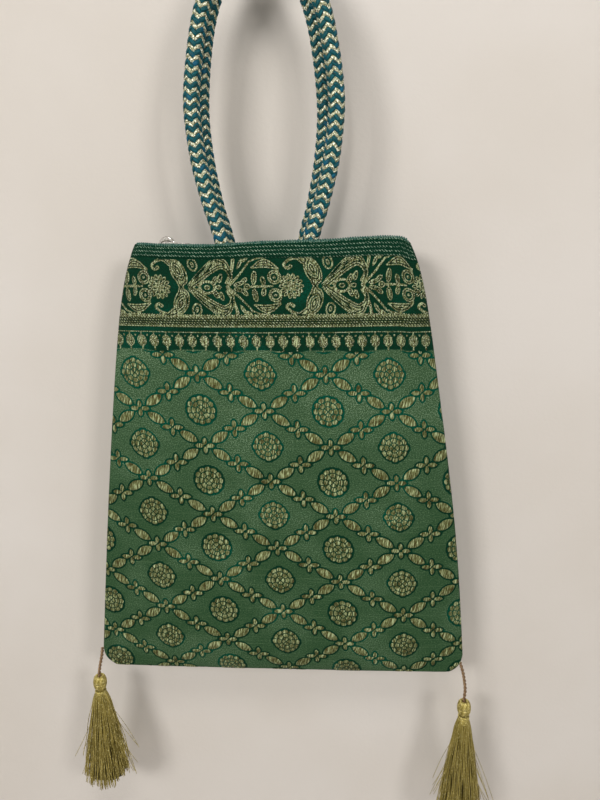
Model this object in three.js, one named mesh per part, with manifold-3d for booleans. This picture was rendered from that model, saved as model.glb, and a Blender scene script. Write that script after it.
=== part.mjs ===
// A flat, zip-topped brocade hand bag of the potli family, hanging by its two braided rope handles,
// with a tassel on a twisted cord at each lower corner.
// Millimetres, +Z up. X runs along the mouth, the front faces -Y, and the origin is the point where
// the two handles hang, on the underside of their loops. "Drop" is the distance below the hem's edge.
import * as THREE from "three";
import { ParametricGeometry } from "three/addons/geometries/ParametricGeometry.js";
import { mergeVertices } from "three/addons/utils/BufferGeometryUtils.js";
import Module from "manifold-3d";

const wasm = await Module();
wasm.setup();

// Driving dimensions: the bag's body
const HEM_BELOW_HANG = 143; // from the hang point down to the hem's edge
const HEIGHT = 255; // from the hem's edge to the bottom seam
const TOP_WIDTH = 150;
const FOOT_WIDTH = 224;
const SHOULDER = 7; // how far each side swells just under the hem
const SHOULDER_FALL = 18; // the drop over which it does
const SIDE_BOW = 1.5; // how far each side bows out halfway down
const CORNER = 13; // radius of the lower corners
const CLOTH = 1.2; // brocade with its interlining
const SEAM_GAP = 0.3; // between the front and back cloth at the seams
const BELLY_HALF = 9; // half the bag's thickness at mid height
const NECK_END = 100; // the drop at which the mouth has narrowed to the belly
const CROWN_FLAT = 3; // the higher, the flatter the middle of the bag's section
const CROWN_ROUND = 0.8; // the lower, the blunter its sides
const FOOT_BLUNT = 0.6; // the lower, the blunter the bag closes at its foot
const MOUTH_EASE = 0.4; // between the ropes and the cloth, beside LAY
const FOOT_ROUND = 36; // height over which the bag closes to its bottom seam
const LAY = 0.3; // between pieces that are sewn or laid against each other

// Driving dimensions: woven bands across the bag, as [top drop, bottom drop, rise of the weave]
const HEM_BAND = [0, 5.7, 0.5];
const FLORAL_BAND = [6.6, 36.6, 0.2];
const GOLD_BAND = [36.9, 44.2, 0.45];
const BUD_BAND = [47.4, 57.2, 0.25];
const BAND_EDGE = 0.4; // the drop over which a band rises

// Driving dimensions: lining
const LINING = 0.5;
const LINING_LAY = 0.6; // it hangs a little free of the cloth
const LINING_INSET = 5; // from the side seams
const LINING_FOOT = 8; // from the bottom seam

// Driving dimensions: zip
const CHAIN_DROP = 2.4; // from the hem's edge down to the middle of the chain
const CHAIN_HALF_WIDTH = 2.1;
const CHAIN_THICK = 2.2;
const CHAIN_INSET = 12; // from the mouth's corners to the ends of the chain
const TOOTH_PITCH = 3.2;
const TOOTH_REACH = 0.9; // how far a tooth crosses the middle line
const TAPE = 0.5;
const TAPE_DROP = 27; // lower edge of the tapes
const TAPE_LAY = 0.7; // they are stitched to the cloth only along the hem
const TAPE_OVERHANG = 3.2; // the tapes run this far past the chain
const TAPE_FALL = 4; // drop from under the slider to where the tapes have reached the cloth
const TAPE_EDGE = 0.4; // their edges thin out over this drop
const TAPE_PAST_ROPE = [2, 7]; // beside a rope, over these distances, they come back to the cloth
const SLIDER_LENGTH = 10.5;
const SLIDER_WALL = 1.2;
const SLIDER_PLATE = 1.0;
const SLIDER_NOSE = 2.6; // length of its nose's round corners
const SLIDER_EASE = 0.5; // its edges are eased by this much, and its rear is narrower by it
const SLIDER_TAIL = 1.0; // its rear corners are cut by this much
const RUN = 0.3; // running clearance of the slider round the chain
const SLOT_HALF = 1.5; // half the slider's lower slot, where the tapes leave
const BRIDGE_HEIGHT = 3.6;
const BRIDGE_HALF_LENGTH = 4.2;
const BRIDGE_WIDTH = 2.4;
const BRIDGE_BAR = 1.0; // thickness of the bridge
const PULL_LENGTH = 13;
const PULL_WIDTH = 5.6;
const PULL_THICK = 0.9;
const PULL_BAR = 1.0; // the pull's cross bar, under the bridge
const PULL_RISE = 1.1; // from the slider's top to the bar's middle
const PULL_WAIST = [0.4, 0.2, 0.6]; // how much narrower the pull is at its bar, its slot's end and its waist
const GRIP_HOLE = 0.42; // share of the pull's half width
const PULL_DROOP = 4.5; // degrees below level at which the pull lies on the slider
const STOP_LENGTH = 2.2;
const STOP_WRAP = [0.2, 0.3]; // the stops stand proud of the chain's sides and faces by these

// Driving dimensions: handles
const ROPE = 9; // diameter
const ROPE_SIDES = 10;
const ROPE_STEPS = 26;
const ROPE_CLEAR = 0.5; // from the slider's side
const HANDLE_X = -2; // the loops hang a little left of the bag's middle
const HANG_Y = 5; // each loop's distance from the middle plane at the hang point
// Each loop's left half from its sewn-in end to its top, as [distance from its middle, height over the hem].
const FRONT_LOOP = [
  [20.6, -24], [21.6, -12], [23.2, 0], [25.8, 9.5], [29, 19], [34, 39], [36.6, 58.6], [37, 72.5],
  [34.8, 91.2], [30.8, 110.9], [24.6, 126.5], [17.2, 138.5], [9, 145.5], [0, 147.5],
];
const BACK_LOOP = [
  [19.6, -24], [20.4, -12], [21.6, 0], [23.8, 9.5], [26.6, 19], [30.6, 39], [32.8, 58.6], [33, 72.5],
  [31.4, 91.2], [28, 110.9], [22.8, 126.5], [16.2, 138.5], [8.6, 145.5], [0, 147.5],
];

// Driving dimensions: tassels
const CORD = 2; // diameter
const CORD_SIDES = 8;
const CORD_STEPS = 6;
const CORD_END = 0.8; // from the tassel's pivot down to the cord's end
const HEAD_BELOW_PIVOT = 1.35;
const HEAD_HEIGHT = 9.4;
const HEAD_RADIUS = 4.1;
const HEAD_WRAPS = 3; // turns of thread round the head
const WRAP_RISE = 0.25;
const YARN_CORE = 2.4; // radius of the yarn where the neck binds it
const NECK_RADIUS = 3.5;
const SKIRT_LENGTH = 67;
const SKIRT_HALF_X = 14.5;
const SKIRT_HALF_Y = 11;
const FLUTES = 8;
const FLUTE_DEPTH = 0.1; // share of the skirt's radius
const THREAD = 1.3; // height of one turn of the neck's binding
const BINDING_RIDGE = 0.3;
const LEFT_TASSEL = { side: -1, exitRise: 12, cordLength: 17.5, neck: 2.4 }; // exitRise is over the foot
const RIGHT_TASSEL = { side: 1, exitRise: 5, cordLength: 27, neck: 5.4 };

// Worked out from them
const SLIDER_HALF_WIDTH = CHAIN_HALF_WIDTH + RUN + SLIDER_WALL;
const ROPE_Y = SLIDER_HALF_WIDTH + ROPE_CLEAR + ROPE / 2;
const MOUTH_HALF = ROPE_Y + ROPE / 2 + LAY + MOUTH_EASE + CLOTH;
const CHAIN_HALF_LENGTH = TOP_WIDTH / 2 - CHAIN_INSET;
const SEAM_HALF = CLOTH + SEAM_GAP / 2;
const CHAIN_Z = -HEM_BELOW_HANG - CHAIN_DROP;
const PLATE_TOP = CHAIN_Z + CHAIN_THICK / 2 + RUN + SLIDER_PLATE;
const SLIDER_X = -(CHAIN_HALF_LENGTH - LAY - SLIDER_LENGTH / 2);
const PULL_PIVOT_Z = PLATE_TOP + PULL_RISE;
const BANDS = [HEM_BAND, FLORAL_BAND, GOLD_BAND, BUD_BAND];

const finish = (color, roughness, metalness) =>
  new THREE.MeshStandardMaterial({ color, roughness, metalness });
const brocade = () => finish(0x6f9a78, 0.55, 0.1);
const liningCloth = () => finish(0x1d5f4e, 0.8, 0);
const tapeCloth = () => finish(0x0f4a40, 0.85, 0);
const nylon = () => finish(0x17564a, 0.5, 0);
const metal = () => finish(0xb9b7b0, 0.3, 1);
const braid = () => finish(0x0f7480, 0.5, 0.2);
const twistedCord = () => finish(0x86694a, 0.7, 0.1);
const goldYarn = () => finish(0xb3a45c, 0.45, 0.3);

const bag = new THREE.Group();

// Geometry helpers

const clamp = THREE.MathUtils.clamp;
const smooth = (x, from, to) => THREE.MathUtils.smoothstep(x, from, to);

function place(name, geometry, material, group = bag) {
  const mesh = new THREE.Mesh(geometry, material);
  mesh.name = name;
  group.add(mesh);
  return mesh;
}

function solid(geometry) {
  const bare = geometry.clone();
  bare.deleteAttribute("normal");
  bare.deleteAttribute("uv");
  const merged = mergeVertices(bare, 1e-4);
  const mesh = new wasm.Mesh({
    numProp: 3,
    vertProperties: merged.attributes.position.array,
    triVerts: new Uint32Array(merged.index.array),
  });
  return new wasm.Manifold(mesh);
}

function geometryOf(manifold) {
  const mesh = manifold.getMesh();
  return new THREE.BufferGeometry()
    .setAttribute("position", new THREE.BufferAttribute(new Float32Array(mesh.vertProperties), 3))
    .setIndex(new THREE.BufferAttribute(new Uint32Array(mesh.triVerts), 1));
}

// A sheet with a thickness: at(column, row, face) gives a point of its outer (face 1) or inner (face 0)
// side. The surface runs over the outer side and back under the inner one, and its first and last rows
// pinch together, so it closes on itself.
function sheet(columns, rows, at) {
  const round = 2 * (columns + 1);
  const outer = new THREE.Vector3();
  const inner = new THREE.Vector3();
  return new ParametricGeometry(
    (u, v, target) => {
      const step = Math.round(u * round) % round;
      const row = Math.round(v * rows);
      const face = step <= columns ? 1 : 0;
      const column = face ? step : round - 1 - step;
      at(column / columns, row, 1, outer);
      at(column / columns, row, 0, inner);
      if (row === 0 || row === rows) target.lerpVectors(outer, inner, 0.5);
      else target.copy(face ? outer : inner);
    },
    round,
    rows,
  );
}

function tube(points, diameter, sides, steps) {
  const section = new THREE.Shape();
  for (let i = 0; i < sides; i++) {
    const turn = (2 * Math.PI * i) / sides;
    const x = (diameter / 2) * Math.cos(turn);
    const y = (diameter / 2) * Math.sin(turn);
    if (i) section.lineTo(x, y);
    else section.moveTo(x, y);
  }
  return new THREE.ExtrudeGeometry(section, { steps, extrudePath: new THREE.CatmullRomCurve3(points) });
}

// An outline in X and Y, given its depth along Z.
const extruded = (shape, depth) =>
  new THREE.ExtrudeGeometry(shape, { depth, bevelEnabled: false, curveSegments: 8 });

// An outline in X and Z, given its thickness along Y about the middle plane.
const plateAcrossY = (shape, thickness) =>
  extruded(shape, thickness).rotateX(Math.PI / 2).translate(0, thickness / 2, 0);

// The bag's form

const straightHalfWidth = (drop) =>
  TOP_WIDTH / 2 +
  ((FOOT_WIDTH - TOP_WIDTH) / 2 - SHOULDER) * (drop / HEIGHT) +
  SHOULDER * (1 - Math.exp(-drop / SHOULDER_FALL)) +
  SIDE_BOW * Math.sin((Math.PI * drop) / HEIGHT);

function halfWidth(drop) {
  const inCorner = clamp(drop - (HEIGHT - CORNER), 0, CORNER);
  return straightHalfWidth(drop) - CORNER + Math.sqrt(CORNER ** 2 - inCorner ** 2);
}

function halfThickness(drop) {
  const open = 1 - smooth(drop, TAPE_DROP, NECK_END);
  const fullness = BELLY_HALF + (MOUTH_HALF - BELLY_HALF) * open;
  const inFoot = clamp((drop - (HEIGHT - FOOT_ROUND)) / FOOT_ROUND, 0, 1);
  return SEAM_HALF + (fullness - SEAM_HALF) * (1 - inFoot ** 2) ** FOOT_BLUNT;
}

// How full the section is across the width: 1 in the middle, 0 at the side seams.
const crown = (across) => (1 - Math.min(Math.abs(across), 1) ** CROWN_FLAT) ** CROWN_ROUND;

// Distance of the cloth's inner side from the middle plane.
const clothInside = (x, drop) =>
  SEAM_GAP / 2 + (halfThickness(drop) - SEAM_HALF) * crown(x / halfWidth(drop));

function weaveRise(drop) {
  return BANDS.reduce((rise, [top, bottom, height]) => {
    const inside = drop >= top && drop <= bottom;
    return inside ? Math.max(rise, height) : rise;
  }, 0);
}

// Drops of the panel's rows: both sides of each band's edges, then even steps to the foot and finer
// ones round the corners.
function panelDrops() {
  const drops = [0, 0.5];
  for (const [top, bottom] of BANDS) {
    if (top) drops.push(top - BAND_EDGE, top);
    drops.push(bottom, bottom + BAND_EDGE);
  }
  const plainFrom = BUD_BAND[1] + BAND_EDGE;
  const plainRows = 9;
  const cornerFrom = HEIGHT - CORNER;
  for (let i = 1; i <= plainRows; i++) drops.push(plainFrom + ((cornerFrom - plainFrom) * i) / plainRows);
  const cornerRows = 4;
  for (let i = 1; i <= cornerRows; i++)
    drops.push(cornerFrom + CORNER * Math.sin((Math.PI / 2) * (i / cornerRows)));
  drops.push((FLORAL_BAND[0] + FLORAL_BAND[1]) / 2);
  return drops.sort((a, b) => a - b);
}

function panel(name, toFront) {
  const columns = 20;
  const drops = panelDrops();
  const geometry = sheet(columns, drops.length - 1, (across, row, outside, target) => {
    const drop = drops[row];
    const x = toFront * (1 - 2 * across) * halfWidth(drop);
    const rise = outside ? CLOTH + weaveRise(drop) * crown(x / halfWidth(drop)) : 0;
    target.set(x, -toFront * (clothInside(x, drop) + rise), -HEM_BELOW_HANG - drop);
  });
  return place(name, geometry, brocade());
}

function lining(name, toFront) {
  const columns = 12;
  const rows = 12;
  const top = TAPE_DROP + 2 * LAY;
  const bottom = HEIGHT - LINING_FOOT;
  const geometry = sheet(columns, rows, (across, row, outside, target) => {
    const drop = top + (bottom - top) * Math.sin((Math.PI / 2) * (row / rows));
    const x = toFront * (1 - 2 * across) * (halfWidth(drop) - LINING_INSET);
    const y = Math.max(clothInside(x, drop) - LINING_LAY, LINING + SEAM_GAP / 2);
    target.set(x, -toFront * (outside ? y : y - LINING), -HEM_BELOW_HANG - drop);
  });
  return place(name, geometry, liningCloth());
}

// The zip

// The tapes leave the chain, reach out to the cloth and run down it, and pass inside the rope ends.
function tapeReach(x, drop) {
  const fromRope = Math.abs(Math.abs(x - HANDLE_X) - FRONT_LOOP[1][0]);
  const [clear, back] = TAPE_PAST_ROPE;
  const beside = 1 - smooth(fromRope, ROPE / 2 + clear, ROPE + back);
  const toCloth = clothInside(x, drop) - TAPE_LAY;
  const toRope = ROPE_Y - ROPE / 2 - LAY;
  return Math.min(toCloth, toCloth + (toRope - toCloth) * beside);
}

function tape(name, toFront) {
  const columns = 36;
  const length = 2 * (CHAIN_HALF_LENGTH + TAPE_OVERHANG);
  const underChain = CHAIN_DROP + CHAIN_THICK / 2 + LAY;
  const underSlider = underChain + SLIDER_PLATE + 2 * RUN;
  const atCloth = underSlider + TAPE_FALL;
  const drops = [underChain, underChain + TAPE_EDGE, underSlider, atCloth, TAPE_DROP - TAPE_EDGE, TAPE_DROP];
  const inner = SLOT_HALF - RUN - TAPE - TAPE_EDGE / 4;
  const geometry = sheet(columns, drops.length - 1, (across, row, outside, target) => {
    const x = toFront * (0.5 - across) * length;
    const spread = row > 2 ? 1 : 0;
    const y = inner + (tapeReach(x, drops[row]) - TAPE - inner) * spread + (outside ? TAPE : 0);
    target.set(x, -toFront * y, -HEM_BELOW_HANG - drops[row]);
  });
  return place(name, geometry, tapeCloth());
}

// One row of the chain: a rail with teeth that reach over the middle line between the other row's.
function chainRow(name, toFront) {
  const shape = new THREE.Shape();
  const rail = CHAIN_HALF_WIDTH;
  const root = TOOTH_REACH + LAY;
  const end = CHAIN_HALF_LENGTH;
  const half = TOOTH_PITCH / 4 - LAY / 2;
  const offset = toFront > 0 ? 0 : TOOTH_PITCH / 2;
  const last = Math.floor((end - offset - half - LAY) / TOOTH_PITCH);
  const first = -Math.floor((end + offset - half - LAY) / TOOTH_PITCH);
  shape.moveTo(-end, rail);
  shape.lineTo(-end, root);
  for (let i = first; i <= last; i++) {
    const x = i * TOOTH_PITCH + offset;
    shape.lineTo(x - half, root);
    shape.lineTo(x - half, -TOOTH_REACH);
    shape.lineTo(x + half, -TOOTH_REACH);
    shape.lineTo(x + half, root);
  }
  shape.lineTo(end, root);
  shape.lineTo(end, rail);
  const geometry = extruded(shape, CHAIN_THICK);
  if (toFront > 0) geometry.rotateX(Math.PI).translate(0, 0, CHAIN_THICK);
  return place(name, geometry.translate(0, 0, CHAIN_Z - CHAIN_THICK / 2), nylon());
}

// A small clip folded round the end of the chain.
function zipStop(name, side) {
  const [aside, above] = STOP_WRAP;
  const half = CHAIN_HALF_WIDTH + aside;
  const geometry = new THREE.CylinderGeometry(half, half, STOP_LENGTH, 12);
  geometry.rotateZ(Math.PI / 2).scale(1, 1, (CHAIN_THICK / 2 + above) / half);
  geometry.translate(side * (CHAIN_HALF_LENGTH + LAY + STOP_LENGTH / 2), 0, CHAIN_Z);
  return place(name, geometry, metal());
}

// The slider's section: a plate over the chain, two walls, and two lips that hold it from below.
function sliderSection() {
  const wide = SLIDER_HALF_WIDTH;
  const inWide = CHAIN_HALF_WIDTH + RUN;
  const inHigh = CHAIN_THICK / 2 + RUN;
  const high = inHigh + SLIDER_PLATE;
  const ease = SLIDER_EASE;
  const section = new THREE.Shape();
  section.moveTo(-SLOT_HALF, -high);
  section.lineTo(-SLOT_HALF, -inHigh);
  section.lineTo(-inWide, -inHigh);
  section.lineTo(-inWide, inHigh);
  section.lineTo(inWide, inHigh);
  section.lineTo(inWide, -inHigh);
  section.lineTo(SLOT_HALF, -inHigh);
  section.lineTo(SLOT_HALF, -high);
  section.lineTo(wide - ease, -high);
  section.lineTo(wide, -high + ease);
  section.lineTo(wide, high - ease);
  section.lineTo(wide - ease, high);
  section.lineTo(-wide + ease, high);
  section.lineTo(-wide, high - ease);
  section.lineTo(-wide, -high + ease);
  section.lineTo(-wide + ease, -high);
  return section;
}

// The slider seen from above: a wide rounded nose on the left and a narrower rear.
function sliderPlan() {
  const half = SLIDER_LENGTH / 2;
  const wide = SLIDER_HALF_WIDTH;
  const rear = wide - SLIDER_EASE;
  const tail = SLIDER_TAIL;
  const plan = new THREE.Shape();
  plan.moveTo(-half + SLIDER_NOSE, -wide);
  plan.quadraticCurveTo(-half, -wide, -half, -wide / 3);
  plan.lineTo(-half, wide / 3);
  plan.quadraticCurveTo(-half, wide, -half + SLIDER_NOSE, wide);
  plan.lineTo(half - tail, rear);
  plan.lineTo(half, rear - tail);
  plan.lineTo(half, tail - rear);
  plan.lineTo(half - tail, -rear);
  return plan;
}

function bridgeOutline() {
  const arch = (path, half, foot, height) => {
    path.moveTo(half, foot);
    path.bezierCurveTo(half, height * 0.75, half * 0.6, height, 0, height);
    path.bezierCurveTo(-half * 0.6, height, -half, height * 0.75, -half, foot);
  };
  const outline = new THREE.Shape();
  arch(outline, BRIDGE_HALF_LENGTH, -SLIDER_PLATE / 2, BRIDGE_HEIGHT);
  const eye = new THREE.Path();
  arch(eye, BRIDGE_HALF_LENGTH - BRIDGE_BAR, 0, BRIDGE_HEIGHT - BRIDGE_BAR);
  outline.holes.push(eye);
  return outline;
}

function slider() {
  const along = extruded(sliderSection(), SLIDER_LENGTH);
  along.rotateZ(Math.PI / 2).rotateY(Math.PI / 2).translate(-SLIDER_LENGTH / 2, 0, 0);
  const high = CHAIN_THICK + 2 * (RUN + SLIDER_PLATE);
  const plan = extruded(sliderPlan(), 2 * high);
  plan.translate(0, 0, -high);
  const bridge = plateAcrossY(bridgeOutline(), BRIDGE_WIDTH).translate(0, 0, high / 2);
  const body = solid(along).intersect(solid(plan)).add(solid(bridge));
  const mesh = place("zip_slider", geometryOf(body), metal());
  mesh.position.set(SLIDER_X, 0, CHAIN_Z);
  return mesh;
}

// The pull lies to the right of its pivot. Its slot lets it swing over the bridge.
function puller() {
  const half = PULL_WIDTH / 2;
  const [atBar, atSlot, atWaist] = PULL_WAIST.map((less) => half - less);
  const slotHalf = BRIDGE_WIDTH / 2 + RUN;
  const slotEnd = BRIDGE_HALF_LENGTH + 2 * RUN;
  const gripX = PULL_LENGTH - half;
  const waistX = (slotEnd + gripX) / 2;
  const outline = new THREE.Shape();
  outline.moveTo(-PULL_BAR / 2, -atBar);
  outline.lineTo(slotEnd, -atSlot);
  outline.quadraticCurveTo(waistX, -atWaist, gripX, -half);
  outline.absarc(gripX, 0, half, -Math.PI / 2, Math.PI / 2, false);
  outline.quadraticCurveTo(waistX, atWaist, slotEnd, atSlot);
  outline.lineTo(-PULL_BAR / 2, atBar);
  const slot = new THREE.Path();
  slot.moveTo(PULL_BAR / 2, -slotHalf);
  slot.lineTo(slotEnd, -slotHalf);
  slot.lineTo(slotEnd, slotHalf);
  slot.lineTo(PULL_BAR / 2, slotHalf);
  outline.holes.push(slot);
  const grip = new THREE.Path();
  grip.absarc(gripX, 0, half * GRIP_HOLE, 0, 2 * Math.PI, true);
  outline.holes.push(grip);
  const geometry = extruded(outline, PULL_THICK);
  const mesh = place("zip_puller", geometry.translate(0, 0, -PULL_THICK / 2), metal());
  mesh.position.set(SLIDER_X, 0, PULL_PIVOT_Z);
  mesh.rotation.y = THREE.MathUtils.degToRad(PULL_DROOP);
  return mesh;
}

// The handles

function handle(name, loop, toFront) {
  const top = loop[loop.length - 1][1];
  const point = (side) => ([out, height]) => {
    const lean = clamp(height / top, 0, 1);
    const y = ROPE_Y + (HANG_Y - ROPE_Y) * lean;
    return new THREE.Vector3(HANDLE_X + side * out, -toFront * y, height - HEM_BELOW_HANG);
  };
  const left = loop.map(point(-1));
  const right = loop.slice(0, -1).map(point(1)).reverse();
  return place(name, tube([...left, ...right], ROPE, ROPE_SIDES, ROPE_STEPS), braid());
}

// The tassels

// The head is a ball of yarn wrapped round with thread, so its outline has a ridge for each turn.
function tasselHead() {
  const steps = 4 * HEAD_WRAPS;
  const profile = [new THREE.Vector2(0, -HEAD_HEIGHT)];
  for (let i = 0; i <= steps; i++) {
    const up = i / steps;
    const ball = HEAD_RADIUS * Math.sqrt(Math.sin(Math.PI * (0.13 + 0.77 * up)));
    const ridge = WRAP_RISE * Math.cos(2 * Math.PI * HEAD_WRAPS * up);
    profile.push(new THREE.Vector2(ball - WRAP_RISE - ridge, -HEAD_HEIGHT * (1 - up)));
  }
  profile.push(new THREE.Vector2(0, 0));
  return new THREE.LatheGeometry(profile, 12).rotateX(Math.PI / 2);
}

// The neck is a ring of thread wound round the yarn under the head.
function tasselNeck(height) {
  const turns = Math.max(2, Math.round(height / THREAD));
  const valley = NECK_RADIUS - BINDING_RIDGE;
  const profile = [new THREE.Vector2(YARN_CORE + LAY, -height), new THREE.Vector2(valley, -height)];
  for (let i = 0; i < turns; i++) {
    profile.push(new THREE.Vector2(NECK_RADIUS, -height + (height * (i + 0.5)) / turns));
    profile.push(new THREE.Vector2(valley, -height + (height * (i + 1)) / turns));
  }
  profile.push(new THREE.Vector2(YARN_CORE + LAY, 0));
  profile.push(profile[0].clone());
  return new THREE.LatheGeometry(profile, 12).rotateX(Math.PI / 2);
}

// The skirt's yarn starts inside the neck and spreads in flutes down to its cut end.
function tasselSkirt(neckHeight) {
  const around = 3 * FLUTES;
  const flareFrom = neckHeight + LAY;
  const rows = [
    [0, 0], [YARN_CORE, 0], [YARN_CORE, flareFrom], [NECK_RADIUS, flareFrom + 0.6],
    [NECK_RADIUS + 1, flareFrom + 8], [SKIRT_HALF_X * 0.52, flareFrom + SKIRT_LENGTH * 0.34],
    [SKIRT_HALF_X * 0.8, flareFrom + SKIRT_LENGTH * 0.66], [SKIRT_HALF_X, flareFrom + SKIRT_LENGTH * 0.95],
    [SKIRT_HALF_X * 0.9, flareFrom + SKIRT_LENGTH], [0, flareFrom + SKIRT_LENGTH - 3],
  ];
  return new ParametricGeometry(
    (u, v, target) => {
      const [radius, down] = rows[Math.round(v * (rows.length - 1))];
      const turn = (-2 * Math.PI * (Math.round(u * around) % around)) / around;
      const spread = clamp((down - flareFrom) / SKIRT_LENGTH, 0, 1);
      const flute = 1 + FLUTE_DEPTH * spread * Math.cos(FLUTES * turn);
      const flat = 1 + (SKIRT_HALF_Y / SKIRT_HALF_X - 1) * spread;
      target.set(radius * flute * Math.cos(turn), radius * flute * flat * Math.sin(turn), -down);
    },
    around,
    rows.length - 1,
  );
}

function tassel(name, { side, exitRise, cordLength, neck }) {
  const exitDrop = HEIGHT - exitRise;
  const exitX = halfWidth(exitDrop) + LAY + CORD / 2;
  const exit = new THREE.Vector3(side * exitX, 0, -HEM_BELOW_HANG - exitDrop);
  const group = new THREE.Group();
  group.position.copy(exit);
  bag.add(group);
  const sway = [0, 0.6, 0.9, 0.5, 0];
  const cordPoints = sway.map(
    (out, i) => new THREE.Vector3(side * out, 0, (-(cordLength + CORD_END) * i) / (sway.length - 1)),
  );
  place(name + "_tassel_cord", tube(cordPoints, CORD, CORD_SIDES, CORD_STEPS), twistedCord(), group);
  const hung = new THREE.Group();
  hung.position.z = -cordLength - HEAD_BELOW_PIVOT;
  group.add(hung);
  place(name + "_tassel_head", tasselHead(), goldYarn(), hung);
  const below = -HEAD_HEIGHT - LAY;
  place(name + "_tassel_neck", tasselNeck(neck), goldYarn(), hung).position.z = below;
  place(name + "_tassel_skirt", tasselSkirt(neck), goldYarn(), hung).position.z = below;
}

panel("front_panel", 1);
panel("back_panel", -1);
lining("front_lining", 1);
lining("back_lining", -1);
tape("front_zip_tape", 1);
tape("back_zip_tape", -1);
chainRow("front_zip_teeth", 1);
chainRow("back_zip_teeth", -1);
zipStop("zip_top_stop", -1);
zipStop("zip_bottom_stop", 1);
slider();
puller();
handle("front_handle", FRONT_LOOP, 1);
handle("back_handle", BACK_LOOP, -1);
tassel("left", LEFT_TASSEL);
tassel("right", RIGHT_TASSEL);

export default bag;
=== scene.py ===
"""A flat zip-topped brocade hand bag, hung from its two braided rope handles against a pale wall.

Shapes are worked out in millimetres and put into the meshes in metres. X runs along the mouth, the
front faces -Y, and the origin is the point where the handles hang. "Drop" is the distance below the hem,
and to_front is 1 for what belongs to the bag's front and -1 for the back.
"""
import math
from functools import partial, partialmethod

import bpy
import numpy as np
from mathutils import Matrix, Vector


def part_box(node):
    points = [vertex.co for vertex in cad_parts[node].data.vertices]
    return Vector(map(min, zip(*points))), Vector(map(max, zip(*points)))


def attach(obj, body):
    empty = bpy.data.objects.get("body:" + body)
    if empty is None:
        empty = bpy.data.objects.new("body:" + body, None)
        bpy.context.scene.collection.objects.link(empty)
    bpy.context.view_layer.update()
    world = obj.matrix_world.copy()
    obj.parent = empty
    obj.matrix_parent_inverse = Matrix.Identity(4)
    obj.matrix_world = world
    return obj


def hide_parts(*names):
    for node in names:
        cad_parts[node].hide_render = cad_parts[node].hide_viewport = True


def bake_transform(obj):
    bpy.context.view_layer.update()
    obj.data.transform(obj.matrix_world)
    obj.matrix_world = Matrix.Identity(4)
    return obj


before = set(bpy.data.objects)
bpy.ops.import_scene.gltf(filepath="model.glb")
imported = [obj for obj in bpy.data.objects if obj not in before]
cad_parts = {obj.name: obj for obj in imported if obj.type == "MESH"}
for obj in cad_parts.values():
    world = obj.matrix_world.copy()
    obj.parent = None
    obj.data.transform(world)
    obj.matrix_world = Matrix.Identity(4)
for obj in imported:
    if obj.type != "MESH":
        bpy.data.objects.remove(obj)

MM = 0.001
TAU = 2 * math.pi
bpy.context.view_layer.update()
scene = bpy.context.scene


def node_box(node):
    """Lowest and highest corner of a CAD node in millimetres."""
    return tuple(np.array(corner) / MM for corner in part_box(node))


# The bag's form, in millimetres, as the frame gives it and as the cloth is cut

HEM_Z = node_box("front_panel")[1][2]
HEIGHT = HEM_Z - node_box("front_panel")[0][2]
TOP_HALF = 75
FOOT_HALF = 112
SHOULDER = 7  # swell of the sides under the hem
SHOULDER_FALL = 18  # drop over which most of it comes
SIDE_BOW = 1.5
SIDE_SWAY = 1.1  # slow wave of the right side
FOOT_TILT = 0.9  # the bottom seam sinks by this at the right and rises by it at the left
CORNER = 13
CLOTH = 1.2
SEAM_HALF = 1.35
BELLY_HALF = 9
MOUTH_HALF = -node_box("front_panel")[0][1] - 0.5
NECK_START = 27  # drops between which the mouth's thickness turns into the belly's
NECK_END = 100
FOOT_ROUND = 36  # height over which the belly closes on the bottom seam
HEM_LEFT = 6.4
HEM_RIGHT = 9.6
ROPE = 9
ROPE_Y = 8.6  # from the middle plane to a rope at the mouth
HANG_Y = 5  # and at the hanging point
HANDLE_X = -2
BACK_HANDLE_X = -3.8
LINING = 0.3
LINING_INSET = 5
LINING_LAY = 0.6
TAPE = 0.5
SLOT_HALF = 1.5
SKIRT = 67
STITCH = 1.3
WALL_Y = 26
FLOOR_Z = -620

# The pattern on the cloth, in millimetres of fabric

HALF_U = 35.4  # half the width of a diamond
HALF_V = 20.4  # and half its height
FIRST_ROW = 70.2
FLORAL_MIDDLE = 24.0
FLORAL_HALF = 14.6
ROUND_FLOWER_U = 21.0
GOLD_TOP = 38.3
TWILL_END = 44.8
GREEN_END = 47.6
BUD_MIDDLE = 52.3
FIELD_TOP = 57.6
BACK_SHIFT = 13  # the pattern starts this much further along on the back
FAR = 9.0  # stands for the distance where no motif is near


def rgb(red, green, blue):
    """A screen colour, 0 to 255, as the linear colour that a shader takes."""
    share = np.array([red, green, blue]) / 255
    linear = np.where(share <= 0.04045, share / 12.92, ((share + 0.055) / 1.055) ** 2.4)
    return (*linear.tolist(), 1.0)


# The camera stands where the photograph was taken: a wide lens close in front of the bag

CAMERA_AT = (30.3, -334.3, -167.4)
CAMERA_YAW = math.radians(-2.78)
CAMERA_PITCH = math.radians(-10.51)
CAMERA_ROLL = math.radians(-0.82)


def add_camera():
    data = bpy.data.cameras.new("camera")
    data.sensor_width = 36
    data.lens = 27
    data.clip_start = 0.01
    camera = bpy.data.objects.new("camera", data)
    scene.collection.objects.link(camera)
    turn = Matrix.Rotation(-CAMERA_YAW, 4, "Z") @ Matrix.Rotation(math.pi / 2 + CAMERA_PITCH, 4, "X")
    camera.matrix_world = (
        Matrix.Translation(Vector(CAMERA_AT) * MM) @ turn @ Matrix.Rotation(CAMERA_ROLL, 4, "Z")
    )
    scene.camera = camera


# Meshes from arrays

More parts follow.
